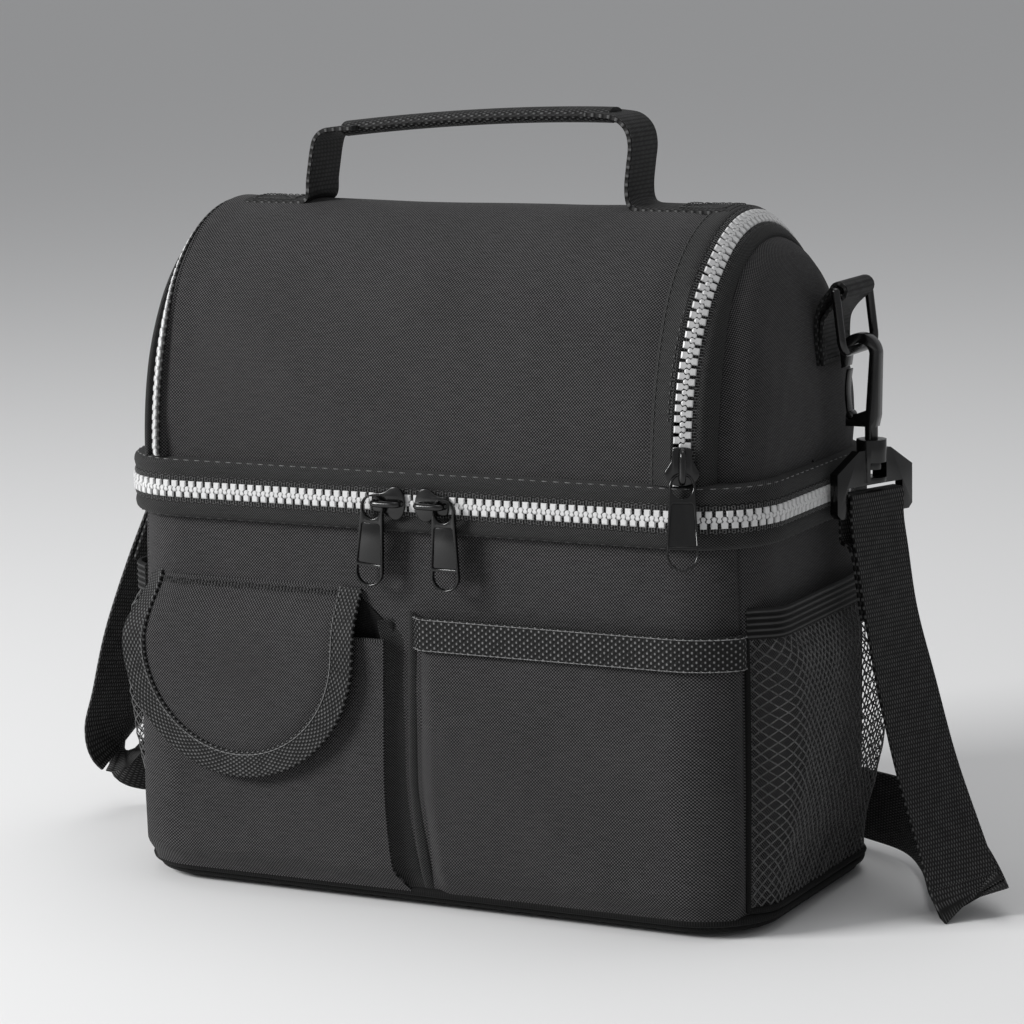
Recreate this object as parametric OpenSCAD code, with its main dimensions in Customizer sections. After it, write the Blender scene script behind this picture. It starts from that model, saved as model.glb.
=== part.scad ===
// Insulated cooler bag: two zipped compartments, an arched cover, pockets and a shoulder strap.
// Frame: +X to the right end, -Y to the front, +Z up. The origin is the middle of the base's underside.

/* [Body] */
// Length of the body from end to end
body_l = 280; // [250:5:330]
// Depth of the body from front to back
body_d = 140; // [128:2:170]
// Radius of the upright corners
corner_r = 30; // [24:1:38]
// Height of the front zip's centre line
zip_z = 164; // [152:1:200]
// Height of the arched cover above its seam
dome_h = 99; // [88:1:120]
// How much tighter the crown's radius is than half the depth
crown_inset = 8; // [5:0.5:14]
// Rounding between the arched zip and the flat of the end panels
end_round = 15; // [12:1:18]

/* [Walls] */
// Thickness of the stiff base
base_t = 3; // [2:0.5:5]
// Thickness of the woven outer wall
shell_t = 1.5; // [1:0.1:2]
// Thickness of the insulating foam
foam_t = 5; // [3:0.5:8]
// Thickness of the foil lining
liner_t = 0.8; // [0.5:0.1:1.2]
// Thickness of the padded end panels
end_wall_t = 6; // [4:0.5:8]
// Thickness of the divider board between the compartments
divider_t = 3; // [2:0.2:3]

/* [Zip] */
// Pitch of the teeth along one row
tooth_pitch = 4; // [3.8:0.1:5]
// Thickness of a tooth across the tape
tooth_t = 2.8; // [2:0.1:3.2]
// Height of the closed chain across both rows
chain_w = 8.6; // [8:0.1:9.4]
// How far the chain's middle stands outside the body wall
chain_out = 3.8; // [3:0.1:5]
// Length of chain on each side, behind the corner
chain_side = 74; // [50:1:90]
// Height of the padded band below the zip
low_band_h = 5; // [4:0.2:12]
// Height of the padded band above the zip
up_band_h = 5.2; // [5.2:0.2:16]
// How far the padded bands bulge outside the body wall
band_out = 4.2; // [3:0.1:4.6]
// Length of a pull from its eye's centre to its lower end
pull_l = 32; // [24:1:34]
// Width of a pull at its lower end
pull_w = 12; // [9:0.5:13]

/* [Pockets] */
// Width of the tongue-shaped flap
flap_w = 108; // [90:1:112]
// Distance of the flap's middle line left of the bag's middle
flap_x = 79; // [76:1:85]
// Height of the flap's hinge line
flap_top = 126; // [118:1:127]
// Straight length of the flap's sides above its round end
flap_side = 24; // [10:1:40]
// Width of the flap's webbing trim
trim_w = 10; // [7:0.5:13]
// Height of the pouch's mouth
pouch_top = 116; // [100:1:121]
// How far the pouch stands out from the body
pouch_out = 8.5; // [8:0.1:8.5]
// Height of the right pocket's mouth
right_top = 119; // [100:1:128]
// How far the right pocket stands out from the body
right_out = 6.2; // [5.8:0.2:8]
// Height of the webbing band on the right pocket
right_band_h = 13; // [9:0.5:18]
// Height of the mesh pockets' mouth
mesh_top = 127; // [100:1:135]
// How far the mesh pockets stand out from the body
mesh_out = 9.8; // [9.8:0.2:12]
// Height of the elastic at the mesh pockets' mouth
elastic_h = 11; // [8:0.5:16]
// Width of one diamond in the mesh
mesh_cell = 7; // [6:0.5:10]

/* [Handle and strap] */
// Width of the handle's webbing
handle_w = 25; // [20:1:32]
// Half the distance between the handle's two legs
handle_half = 71; // [71:1:85]
// Distance of the handle's middle left of the cover's middle
handle_off = 5; // [0:1:5]
// Rise of the handle above the cover
handle_h = 40; // [34:1:55]
// Width of the shoulder strap's webbing
strap_w = 30; // [24:1:32]
// Thickness of the shoulder strap's webbing
strap_t = 1.6; // [1.2:0.1:2]
// Width of the strap's ring tabs on the end panels
tab_w = 30; // [24:1:34]
// Distance of the rings behind the bag's middle
ring_y = 19; // [10:1:22]
// Height of the rings' upper bars
ring_z = 244; // [238:1:246]
// Height of the rings between the middles of their bars
ring_h = 24; // [20:0.5:26]
// Width of the swivel yokes
yoke_w = 43; // [40:1:46]

/* [Hidden] */
$fn = 48;

// Colours of the finishes
cloth = [0.13, 0.13, 0.13];
webbing = [0.09, 0.09, 0.09];
foam = [0.85, 0.86, 0.84];
foil = [0.75, 0.76, 0.77];
tooth_grey = [0.66, 0.66, 0.66];
plastic = [0.06, 0.06, 0.06];

// Gaps: between pieces that move past each other, and in a running fit
gap = 0.3;
fit = 0.05;
// A cut runs past its faces by this much
over = 1;

// Body levels and half sizes
half_l = body_l / 2;
half_d = body_d / 2;
slider_r = 6.3;
zip_gap = slider_r + 0.5;
low_band_top = zip_z - zip_gap;
wall_top = low_band_top - low_band_h;
up_band_z = zip_z + zip_gap;
seam_z = up_band_z + up_band_h;
ridge_z = seam_z + dome_h;
foam_in = -shell_t - foam_t;
corner_steps = 8;

// Arched profile of three arcs: two side arcs and a crown
crown_r = half_d - crown_inset;
side_r = (pow(half_d, 2) + pow(dome_h, 2) - 2 * dome_h * crown_r) / (2 * crown_inset);
side_c = side_r - half_d;
crown_z = dome_h - crown_r;
side_a = atan2(crown_z, side_c);
side_len = side_r * side_a * PI / 180;
crown_len = crown_r * (180 - 2 * side_a) * PI / 180;
arch_len = 2 * side_len + crown_len;
arch_steps = 8;

// Places along the length
panel_x = half_l - end_round;
arch_x = panel_x - zip_gap - 0.2;
cover_half = arch_x - zip_gap - 0.2;

// Zip sizes
tape_t = 1.2;
tape_edge = chain_w / 2;
tooth_body = 1.3;
tooth_neck = 0.55;
tooth_head = 1.05;
tooth_tip = 1.15;
plate_t = 1.5;
channel = tooth_t + 0.8;
plate_w = channel / 2;
bail_gap = 2.6;
bail_t = 1.4;
bail_wd = 2;
pull_t = 1.6;
eye_hole = 3.1;
eye_rim = 1.5;
pull_at = plate_w + plate_t + bail_gap / 2;
narrow_r = 4.6;
narrow_u = 4.8;
bail_wide_u = -4.6;
bail_narrow_u = 7.6;
bail_leg = 1.6;
slider_reach = narrow_u + narrow_r;
slider_half_gap = 2;
slider_left_x = -slider_half_gap - slider_r;
slider_right_x = slider_half_gap + slider_r;
front_half = half_l - corner_r;
chain_r = corner_r + chain_out;
chain_corner = chain_r * PI / 2;
chain_half = front_half + chain_corner + chain_side;
skip_front = slider_half_gap + slider_r + slider_reach + 0.4;
slider_rise = slider_r + 0.6;
slider_a = asin(slider_rise / side_r);
arch_out = 1.2;
arch_skip = slider_rise + slider_reach + 0.4;
cover_tape_rise = 25;
cover_tape_foot = 5;
tape_back = -0.2;

// Pocket sizes
pocket_z = 5;
pocket_t = 1.3;
pouch_x = 18;
pouch_y = -half_d + 14;
right_x = 3;
right_edge_y = -half_d + 17;
flap_in = pouch_out + 2.1;
flap_t = 2;
trim_t = 2.6;
flap_r = flap_w / 2;
closure_w = 40;
closure_h = 14;
closure_z = flap_top - flap_side - flap_r + trim_w + 8;
mesh_t = 1;
mesh_half = half_d - corner_r;
mesh_z = base_t + 4;
mesh_strand = 1.3;
elastic_t = 1.8;

// Handle and strap fittings
anchor_t = 2;
leg_t = 2.4;
pivot_z = ridge_z + gap + handle_w / 2;
grip_w = 14;
grip_h = 6.5;
grip_half = handle_half - 10;
ring_wire = 1.8;
ring_in = tab_w / 2 + 0.6;
tab_x = half_l + 9;
tab_loop = ring_wire + 0.4;
tab_web = 1.8;
lean_right = 7;
lean_left = 17;
hook_t = 5;
bow_in = 4.2;
bow_out = 8.2;
bow_x = 1;
bow_z = -2;
swivel_x = 5;
stem_r = 2.6;
stem_head_r = 4;
yoke_t = 4;
yoke_top = -36;
yoke_h = 30;
yoke_turn_right = 68;
yoke_turn_left = 66;
slot_h = 4;
bar_h = 4.5;
bar_z = 3.5;
boss_r = 6;

function flip(points) = [for (i = [len(points) - 1:-1:0]) points[i]];

// Outline of the body in plan, moved out by o
function plan_pts(o) = [for (c = [0:3], i = [0:corner_steps])
    let (sx = (c == 0 || c == 3) ? 1 : -1, sy = c < 2 ? 1 : -1, a = 90 * (c + i / corner_steps))
    [sx * front_half + (corner_r + o) * cos(a), sy * (half_d - corner_r) + (corner_r + o) * sin(a)]];

// Point of the arched profile, moved out by o, where its outward normal leans by a
function arch_at(a, o) =
    a < side_a ? [side_c - (side_r + o) * cos(a), seam_z + (side_r + o) * sin(a)] :
    a > 180 - side_a ? [-side_c - (side_r + o) * cos(a), seam_z + (side_r + o) * sin(a)] :
    [-(crown_r + o) * cos(a), seam_z + crown_z + (crown_r + o) * sin(a)];
function arch_angle(s) =
    s < side_len ? s / side_r * 180 / PI :
    s > arch_len - side_len ? 180 - (arch_len - s) / side_r * 180 / PI :
    side_a + (s - side_len) / crown_r * 180 / PI;
arch_angles = concat(
    [for (i = [0:arch_steps]) side_a * i / arch_steps],
    [for (i = [1:2 * arch_steps - 1]) side_a + (180 - 2 * side_a) * i / (2 * arch_steps)],
    [for (i = [0:arch_steps]) 180 - side_a + side_a * i / arch_steps]);
function arch_pts(o, angles = arch_angles) = [for (a = angles) arch_at(a, o)];

// Place and heading on the front zip's path, at a distance s from the middle of the front
function chain_at(s) = let (m = abs(s), k = sign(s), b = (m - front_half) / chain_r * 180 / PI)
    m <= front_half ? [s, -half_d - chain_out, 0] :
    m <= front_half + chain_corner ?
        [k * (front_half + chain_r * sin(b)), -half_d + corner_r - chain_r * cos(b), k * b] :
    [k * (half_l + chain_out), -half_d + corner_r + m - front_half - chain_corner, k * 90];

// Solids that follow the plan outline
module slab(o, z0, z1) { translate([0, 0, z0]) linear_extrude(z1 - z0) polygon(plan_pts(o)); }
module wall(o_out, o_in, z0, z1) {
    translate([0, 0, z0])
        linear_extrude(z1 - z0)
            difference() {
                polygon(plan_pts(o_out));
                polygon(plan_pts(o_in));
            }
}
module box(low, high) { translate(low) cube(high - low); }

// A section of [outset, height] points swept round the body
module ring_sweep(section) {
    m = len(section);
    n = len(plan_pts(0));
    points = [for (i = [0:n - 1]) for (p = section) concat(plan_pts(p[0])[i], p[1])];
    faces = [for (i = [0:n - 1], j = [0:m - 1]) let (k = (i + 1) % n, l = (j + 1) % m)
        each [[i * m + j, k * m + j, k * m + l], [i * m + j, k * m + l, i * m + l]]];
    polyhedron(points, faces);
}
function padded(o_out, o_in, z0, z1, r0, r1) = concat(
    [[o_in, z1], [o_in, z0]],
    [for (a = [-90:30:0]) [o_out - r0 + r0 * cos(a), z0 + r0 + r0 * sin(a)]],
    [for (a = [0:30:90]) [o_out - r1 + r1 * cos(a), z1 - r1 + r1 * sin(a)]]);

// A strip of the arched profile between two outsets, over a stretch of the length
module arch_strip(o_out, o_in, x0, x1, angles = arch_angles) {
    translate([x0, 0, 0])
        rotate([90, 0, 90])
            linear_extrude(x1 - x0)
                polygon(concat(arch_pts(o_out, angles), flip(arch_pts(o_in, angles))));
}

// One tooth, with its head up; the outline is drawn from the chain's middle line
module tooth() {
    half = [[tooth_body, -tape_edge], [tooth_body, -tooth_tip - 0.45], [tooth_neck, -tooth_tip],
        [tooth_neck, 0.05], [tooth_head, tooth_tip / 2], [tooth_head * 0.6, tooth_tip]];
    linear_extrude(tooth_t, center = true)
        polygon(concat(half, flip([for (p = half) [-p[0], p[1]]])));
}
module front_row(up) {
    shift = up ? tooth_pitch / 2 : 0;
    n = floor((chain_half - shift) / tooth_pitch - 0.5);
    for (i = [-n:n]) {
        s = i * tooth_pitch + shift;
        p = chain_at(s);
        if (abs(s) > skip_front || s == 0)
            translate([p[0], p[1], zip_z])
                rotate([90, 0, p[2]])
                    mirror([0, up ? 1 : 0, 0])
                        tooth();
    }
}
module arch_row(side, outer) {
    shift = outer ? tooth_pitch / 2 : 0;
    first = shift + (side > 0 ? arch_skip : tooth_pitch / 2);
    n = floor((arch_len - tooth_pitch / 2 - first) / tooth_pitch);
    for (i = [0:n]) {
        a = arch_angle(first + i * tooth_pitch);
        p = arch_at(a, arch_out);
        translate([side * arch_x, p[0], p[1]])
            rotate([-a, 0, 0])
                rotate([0, -90, -90])
                    mirror([0, (side > 0) == outer ? 1 : 0, 0])
                        tooth();
    }
}

// Lower compartment
module base_panel() { color(cloth) slab(-shell_t, 0, base_t); }
module base_piping() { color(webbing) ring_sweep(padded(2, 0, base_t, base_t + 4, 1.9, 1.9)); }
module lower_shell() { color(cloth) wall(0, -shell_t, base_t, wall_top); }
module lower_foam() {
    color(foam) difference() {
        slab(-shell_t, base_t, wall_top);
        slab(foam_in, base_t + foam_t, wall_top + over);
    }
}
module lower_liner() {
    color(foil) difference() {
        slab(foam_in, base_t + foam_t, low_band_top);
        slab(foam_in - liner_t, base_t + foam_t + liner_t, low_band_top + over);
    }
}
module lower_band() { color(cloth) ring_sweep(padded(band_out, foam_in, wall_top, low_band_top, 2.2, 0.6)); }

// Zip tape round the front and sides, open at the back
module front_tape(z0, z1) {
    color(webbing) difference() {
        wall(chain_out + tape_t / 2, chain_out - tape_t / 2, z0, z1);
        box([-half_l - 2 * band_out, -half_d + corner_r + chain_side, z0 - over],
            [half_l + 2 * band_out, half_d + 2 * band_out, z1 + over]);
    }
}
module lower_zip_tape() { front_tape(low_band_top, zip_z - tape_edge); }
module lower_zip_teeth() { color(tooth_grey) front_row(false); }
// Fabric strip round the back, from one end of the zip to the other
module hinge_leaf(z0, z1) {
    color(cloth) intersection() {
        wall(chain_out + tape_t / 2, chain_out - tape_t / 2, z0, z1);
        box([-half_l - 2 * band_out, -half_d + corner_r + chain_side, z0],
            [half_l + 2 * band_out, half_d + 2 * band_out, z1]);
    }
}
module rear_hinge_lower() { hinge_leaf(low_band_top, zip_z - gap); }

// Pockets
module pouch_zone(z0, z1) {
    box([-half_l - 2 * pouch_out, -half_d - 2 * pouch_out, z0], [-pouch_x, pouch_y, z1]);
}
module pouch_panel() {
    color(cloth) {
        intersection() {
            wall(pouch_out, pouch_out - pocket_t, pocket_z, pouch_top);
            pouch_zone(0, pouch_top);
        }
        intersection() {
            wall(pouch_out - pocket_t, 0, pocket_z + base_t, pocket_z + base_t + pocket_t);
            pouch_zone(0, pouch_top);
        }
        intersection() {
            wall(pouch_out - pocket_t, 0, pocket_z + base_t + pocket_t, pouch_top);
            pouch_zone(0, pouch_top);
            box([-half_l, pouch_y - pocket_t, 0], [-front_half, pouch_y, pouch_top]);
        }
    }
}
module pouch_gusset() {
    front = -half_d - pouch_out;
    color(cloth) translate([0, 0, pocket_z + base_t])
        linear_extrude(pouch_top - pocket_z - base_t)
            polygon([[-pouch_x, front], [-pouch_x + pocket_t, front], [-right_x - 1, -half_d - pocket_t],
                [-right_x - 1, -half_d], [-right_x - 2 - pocket_t, -half_d], [-pouch_x, front + pocket_t]]);
}
// Webbing that carries the flap's hinge line, sewn to the body above the pouch
module flap_header() {
    out = flap_in - gap;
    color(webbing) translate([-flap_x - flap_r, 0, flap_top])
        rotate([90, 0, 90])
            linear_extrude(flap_w)
                polygon([[-half_d, 3], [-half_d, 1.5], [-half_d - out, -1.5], [-half_d - out, 0]]);
}
module closure(o_in, o_out) {
    color(webbing) box([-flap_x - closure_w / 2, -half_d - o_out, closure_z],
        [-flap_x + closure_w / 2, -half_d - o_in, closure_z + closure_h]);
}
module pouch_loop_tape() { closure(pouch_out, pouch_out + 0.8); }
module right_zone(z0, z1) {
    box([-right_x, -half_d - 2 * right_out, z0], [half_l + 2 * right_out, right_edge_y, z1]);
}
module right_pocket_panel() {
    color(cloth) {
        intersection() {
            wall(right_out, right_out - pocket_t, pocket_z, right_top);
            right_zone(0, right_top);
        }
        intersection() {
            wall(right_out - pocket_t, 0, pocket_z + base_t, pocket_z + base_t + pocket_t);
            right_zone(0, right_top);
        }
        intersection() {
            wall(right_out - pocket_t, 0, pocket_z + base_t + pocket_t, right_top);
            union() {
                box([-right_x, -half_d - right_out, 0], [-right_x + pocket_t, -half_d + over, right_top]);
                box([front_half, right_edge_y - pocket_t, 0], [half_l + right_out, right_edge_y, right_top]);
            }
        }
    }
}
module right_pocket_band() {
    color(webbing) intersection() {
        wall(right_out + pocket_t, right_out, right_top - right_band_h, right_top);
        right_zone(0, right_top);
    }
}
// Net of diamonds on the flat of the side, with plain ends that turn in to the corners
module mesh_pocket(side) {
    rows = floor((mesh_top - elastic_h - mesh_z - 2 * mesh_strand) / mesh_cell);
    cols = floor((2 * mesh_half - 2 * mesh_strand) / mesh_cell);
    hole = (mesh_cell - mesh_strand) / 2;
    color(webbing) {
        translate([side * (half_l + mesh_out - mesh_t / 2), 0, 0])
            rotate([90, 0, 90])
                linear_extrude(mesh_t, center = true)
                    difference() {
                        translate([-mesh_half, mesh_z])
                            square([2 * mesh_half, mesh_top - elastic_h - mesh_z]);
                        for (r = [0:rows - 1], c = [0:cols - 1 - r % 2])
                            translate([(c + (r % 2) / 2 - (cols - 1) / 2) * mesh_cell,
                                mesh_z + mesh_strand + (r + 0.5) * mesh_cell])
                                polygon([[-hole, 0], [0, -hole], [hole, 0], [0, hole]]);
                    }
        intersection() {
            wall(mesh_out, mesh_out - mesh_t, mesh_z, mesh_top - elastic_h);
            mesh_corners(side);
        }
        mirror([side < 0 ? 1 : 0, 0, 0])
            box([half_l, -mesh_half, mesh_z], [half_l + mesh_out - mesh_t, mesh_half, mesh_z + pocket_t]);
    }
}
module mesh_corners(side) {
    edge = half_l - 8;
    for (k = [-1, 1])
        box([min(side * edge, side * (half_l + mesh_out)), k > 0 ? mesh_half : -half_d, 0],
            [max(side * edge, side * (half_l + mesh_out)), k > 0 ? half_d : -mesh_half, mesh_top]);
}
module mesh_elastic(side) {
    color(webbing) intersection() {
        wall(mesh_out + elastic_t - mesh_t, mesh_out - mesh_t, mesh_top - elastic_h, mesh_top);
        union() {
            mesh_corners(side);
            box([min(0, side * 2 * half_l), -mesh_half, 0], [max(0, side * 2 * half_l), mesh_half, mesh_top]);
        }
    }
}
module mesh_pocket_left() { mesh_pocket(-1); }
module mesh_pocket_right() { mesh_pocket(1); }
module mesh_elastic_left() { mesh_elastic(-1); }
module mesh_elastic_right() { mesh_elastic(1); }

// Pouch flap: a tongue with a webbing edge
module tongue(r) {
    translate([-flap_x, 0]) {
        translate([-r, flap_top - flap_side]) square([2 * r, flap_side]);
        translate([0, flap_top - flap_side])
            intersection() {
                circle(r);
                translate([-r, -r]) square([2 * r, r]);
            }
    }
}
module flap_layer(o, t) { translate([0, -half_d - o, 0]) rotate([90, 0, 0]) linear_extrude(t) children(); }
module flap_panel() { color(cloth) flap_layer(flap_in, flap_t) tongue(flap_r - trim_w); }
module flap_trim() {
    color(webbing) flap_layer(flap_in, trim_t)
        difference() {
            tongue(flap_r);
            tongue(flap_r - trim_w);
        }
}
module flap_hook_tape() { closure(flap_in - 1, flap_in); }

// Zip slider: two plates joined by a post at the wide end, with a bail on top for the pull.
// Its length runs along X with the narrow end at +X, and its outer face is +Z.
module slider() {
    for (z = [plate_w, -plate_w - plate_t])
        translate([0, 0, z])
            linear_extrude(plate_t) {
                circle(slider_r);
                translate([narrow_u, 0]) circle(narrow_r);
                polygon([[0, -slider_r], [narrow_u, -narrow_r], [narrow_u, narrow_r], [0, slider_r]]);
            }
    translate([bail_wide_u + bail_leg / 2, 0, -plate_w]) cylinder(r = 1.3, h = channel);
    low = plate_w + plate_t;
    translate([0, bail_wd / 2, 0])
        rotate([90, 0, 0])
            linear_extrude(bail_wd)
                difference() {
                    translate([bail_wide_u - bail_leg / 2, low])
                        square([bail_narrow_u - bail_wide_u + bail_leg, bail_gap + bail_t]);
                    translate([bail_wide_u + bail_leg / 2, low])
                        square([bail_narrow_u - bail_wide_u - bail_leg, bail_gap]);
                }
}
// Pull: an eye, a tapered tab with a raised panel, and a D-shaped hole at its lower end.
// The eye's centre is the origin, the tab hangs along -Y and its outer face is +Z.
module pull() {
    end_r = pull_w / 2;
    eye_r = eye_hole + eye_rim;
    round_y = -pull_l + end_r;
    hole_r = end_r - 1.5;
    difference() {
        union() {
            translate([0, 0, -pull_t / 2])
                linear_extrude(pull_t) {
                    circle(eye_r);
                    polygon([[-eye_r, 0], [eye_r, 0], [end_r, round_y], [-end_r, round_y]]);
                    translate([0, round_y]) circle(end_r);
                }
            translate([0, 0, pull_t / 2])
                linear_extrude(0.5)
                    polygon([[-eye_r + 1, -eye_r - 1], [eye_r - 1, -eye_r - 1],
                        [end_r - 1.8, round_y + 3], [-end_r + 1.8, round_y + 3]]);
        }
        translate([0, 0, -pull_t]) cylinder(r = eye_hole, h = 2 * pull_t);
        translate([0, round_y, -pull_t])
            linear_extrude(2 * pull_t)
                difference() {
                    circle(hole_r);
                    translate([-pull_w, 1.5]) square([2 * pull_w, pull_w]);
                }
    }
}
// Places a front slider's parts: dir is +1 where the narrow end points right
module on_front(x, dir) {
    translate([x, -half_d - chain_out, zip_z])
        rotate([90, 0, 0])
            mirror([dir < 0 ? 1 : 0, 0, 0])
                children();
}
module front_pull() {
    color(plastic) translate([bail_narrow_u, -(eye_hole - bail_wd / 2 - gap), pull_at]) pull();
}
module slider_left() { color(plastic) on_front(slider_left_x, -1) slider(); }
module slider_right() { color(plastic) on_front(slider_right_x, 1) slider(); }
module pull_left() { on_front(slider_left_x, -1) front_pull(); }
module pull_right() { on_front(slider_right_x, 1) front_pull(); }

// Upper compartment
module upper_band() { color(cloth) ring_sweep(padded(band_out, foam_in, up_band_z, seam_z, 0.6, 2.2)); }
module divider_panel() { color(cloth) slab(foam_in, up_band_z, up_band_z + divider_t); }
module upper_liner() {
    color(foil) difference() {
        slab(foam_in, up_band_z + divider_t, seam_z);
        slab(foam_in - liner_t, up_band_z + divider_t + liner_t, seam_z + over);
    }
}
module rear_hinge_upper() { hinge_leaf(zip_z + gap, up_band_z); }
module upper_zip_tape() { front_tape(zip_z + tape_edge, up_band_z); }
module upper_zip_teeth() { color(tooth_grey) front_row(true); }

// Lofted end panel: a padded dish of arched outlines that draw in as they near the end, open below
function dish(r, inset) = [for (i = [0:dish_steps], p = arch_pts(-inset - r * (1 - cos(90 * i / dish_steps))))
    [panel_x + r * sin(90 * i / dish_steps), p[0], p[1]]];
dish_steps = 6;
module end_panel() {
    m = len(arch_angles);
    n = dish_steps;
    inner = (n + 1) * m;
    sides = [for (i = [0:n - 1], j = [0:m - 2])
        [i * m + j, (i + 1) * m + j, (i + 1) * m + j + 1, i * m + j + 1]];
    tris = [for (q = sides) each [[q[0], q[1], q[2]], [q[0], q[2], q[3]]]];
    rim = [for (j = [0:m - 2]) each [[j, j + 1, inner + j + 1], [j, inner + j + 1, inner + j]]];
    foot = concat(
        [for (i = [0:n - 1]) [(i + 1) * m, i * m, inner + i * m, inner + (i + 1) * m]],
        [for (i = [1:n]) [i * m - 1, (i + 1) * m - 1, inner + (i + 1) * m - 1, inner + i * m - 1]],
        [[(n + 1) * m - 1, n * m, inner + n * m, inner + (n + 1) * m - 1]]);
    feet = [for (q = foot) each [[q[0], q[1], q[2]], [q[0], q[2], q[3]]]];
    caps = [[for (j = [m - 1:-1:0]) n * m + j], [for (j = [0:m - 1]) inner + n * m + j]];
    color(cloth) polyhedron(
        concat(dish(end_round, 0), dish(end_round - end_wall_t, end_wall_t)),
        concat(tris, [for (t = tris) [inner + t[2], inner + t[1], inner + t[0]]], rim, caps, feet));
}
module end_panel_left() { mirror([1, 0, 0]) end_panel(); }
module end_panel_right() { end_panel(); }
// The fixed tapes, and the patch behind the parked slider
module arch_tape_end() {
    angles = [for (i = [0:4]) arch_angle(cover_tape_rise) * i / 4];
    color(webbing) {
        for (side = [-1, 1])
            mirror([side < 0 ? 1 : 0, 0, 0])
                arch_strip(arch_out + tape_t / 2, tape_back, arch_x + tape_edge, panel_x);
        arch_strip(-4, -5.2, cover_half, panel_x, angles);
    }
}
module arch_teeth_end() { color(tooth_grey) for (side = [-1, 1]) arch_row(side, true); }
module on_arch() {
    p = arch_at(slider_a, arch_out);
    translate([arch_x, p[0], p[1]])
        rotate([-slider_a, 0, 0])
            rotate([90, 0, 0])
                rotate([0, 0, 90])
                    children();
}
module arch_slider() { color(plastic) on_arch() slider(); }
module arch_pull() {
    eye_u = bail_wide_u + bail_leg / 2 + 0.75 - eye_hole;
    color(plastic) on_arch() translate([eye_u, 0, pull_at]) rotate([0, 0, -90]) pull();
}

// Webbing tab on the end panel, folded round the ring's upper bar
module ring_tab(side) {
    low = ring_z - 30;
    color(webbing) translate([0, ring_y + tab_w / 2, 0])
        rotate([90, 0, 0])
            linear_extrude(tab_w)
                mirror([side < 0 ? 1 : 0, 0])
                    difference() {
                        union() {
                            translate([half_l, low]) square([2 * tab_web, ring_z - low - 8]);
                            polygon([[half_l, ring_z - 8], [half_l + 2 * tab_web, ring_z - 10],
                                [tab_x + tab_loop, ring_z - 3], [tab_x - 1, ring_z + tab_loop + tab_web],
                                [half_l, ring_z - 4]]);
                            translate([tab_x, ring_z]) circle(tab_loop + tab_web);
                        }
                        translate([tab_x, ring_z]) circle(tab_loop);
                    }
}
module ring_tab_left() { ring_tab(-1); }
module ring_tab_right() { ring_tab(1); }

// Arched cover
module cover_layer(o_out, o_in) { arch_strip(o_out, o_in, -cover_half, cover_half); }
module cover_shell() { color(cloth) cover_layer(0, -shell_t); }
module cover_foam() { color(foam) cover_layer(-shell_t, -shell_t - foam_t + 1); }
module cover_liner() { color(foil) cover_layer(-shell_t - foam_t + 1, -shell_t - foam_t + 1 - liner_t); }
module arch_tape_cover() {
    color(webbing) for (side = [-1, 1]) {
        first = arch_angle(side > 0 ? cover_tape_rise : cover_tape_foot);
        mirror([side < 0 ? 1 : 0, 0, 0])
            arch_strip(arch_out + tape_t / 2, tape_back, cover_half, arch_x - tape_edge,
                concat([first], [for (a = arch_angles) if (a > first) a]));
    }
}
module arch_teeth_cover() { color(tooth_grey) for (side = [-1, 1]) arch_row(side, false); }
module handle_anchor() {
    reach = asin(handle_w / 2 / crown_r);
    angles = [for (i = [-4:4]) 90 + reach * i / 4];
    color(webbing) for (side = [-1, 1])
        mirror([side < 0 ? 1 : 0, 0, 0])
            arch_strip(anchor_t, 0.05, handle_half - side * handle_off + leg_t, cover_half, angles);
}

// Handle: two flat legs with rounded roots, and a folded grip between them
module handle_webbing() {
    rise = ridge_z + handle_h - grip_h / 2 - pivot_z;
    bend = handle_half - grip_half;
    color(webbing) translate([-handle_off, 0, 0]) for (side = [-1, 1])
        mirror([side < 0 ? 1 : 0, 0, 0]) {
            translate([handle_half - leg_t / 2, 0, pivot_z])
                rotate([0, 90, 0])
                    cylinder(d = handle_w, h = leg_t);
            translate([0, handle_w / 2, pivot_z])
                rotate([90, 0, 0])
                    linear_extrude(handle_w) {
                        translate([handle_half - leg_t / 2, 0]) square([leg_t, rise - bend]);
                        translate([grip_half, rise - bend])
                            intersection() {
                                difference() {
                                    circle(bend + leg_t / 2);
                                    circle(bend - leg_t / 2);
                                }
                                square(2 * bend);
                            }
                    }
        }
}
module handle_grip() {
    color(webbing) translate([-grip_half - handle_off, 0, ridge_z + handle_h - grip_h / 2])
        rotate([90, 0, 90])
            linear_extrude(2 * grip_half) {
                square([grip_w - grip_h, grip_h], center = true);
                for (k = [-1, 1]) translate([k * (grip_w - grip_h) / 2, 0]) circle(grip_h / 2);
            }
}

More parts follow.
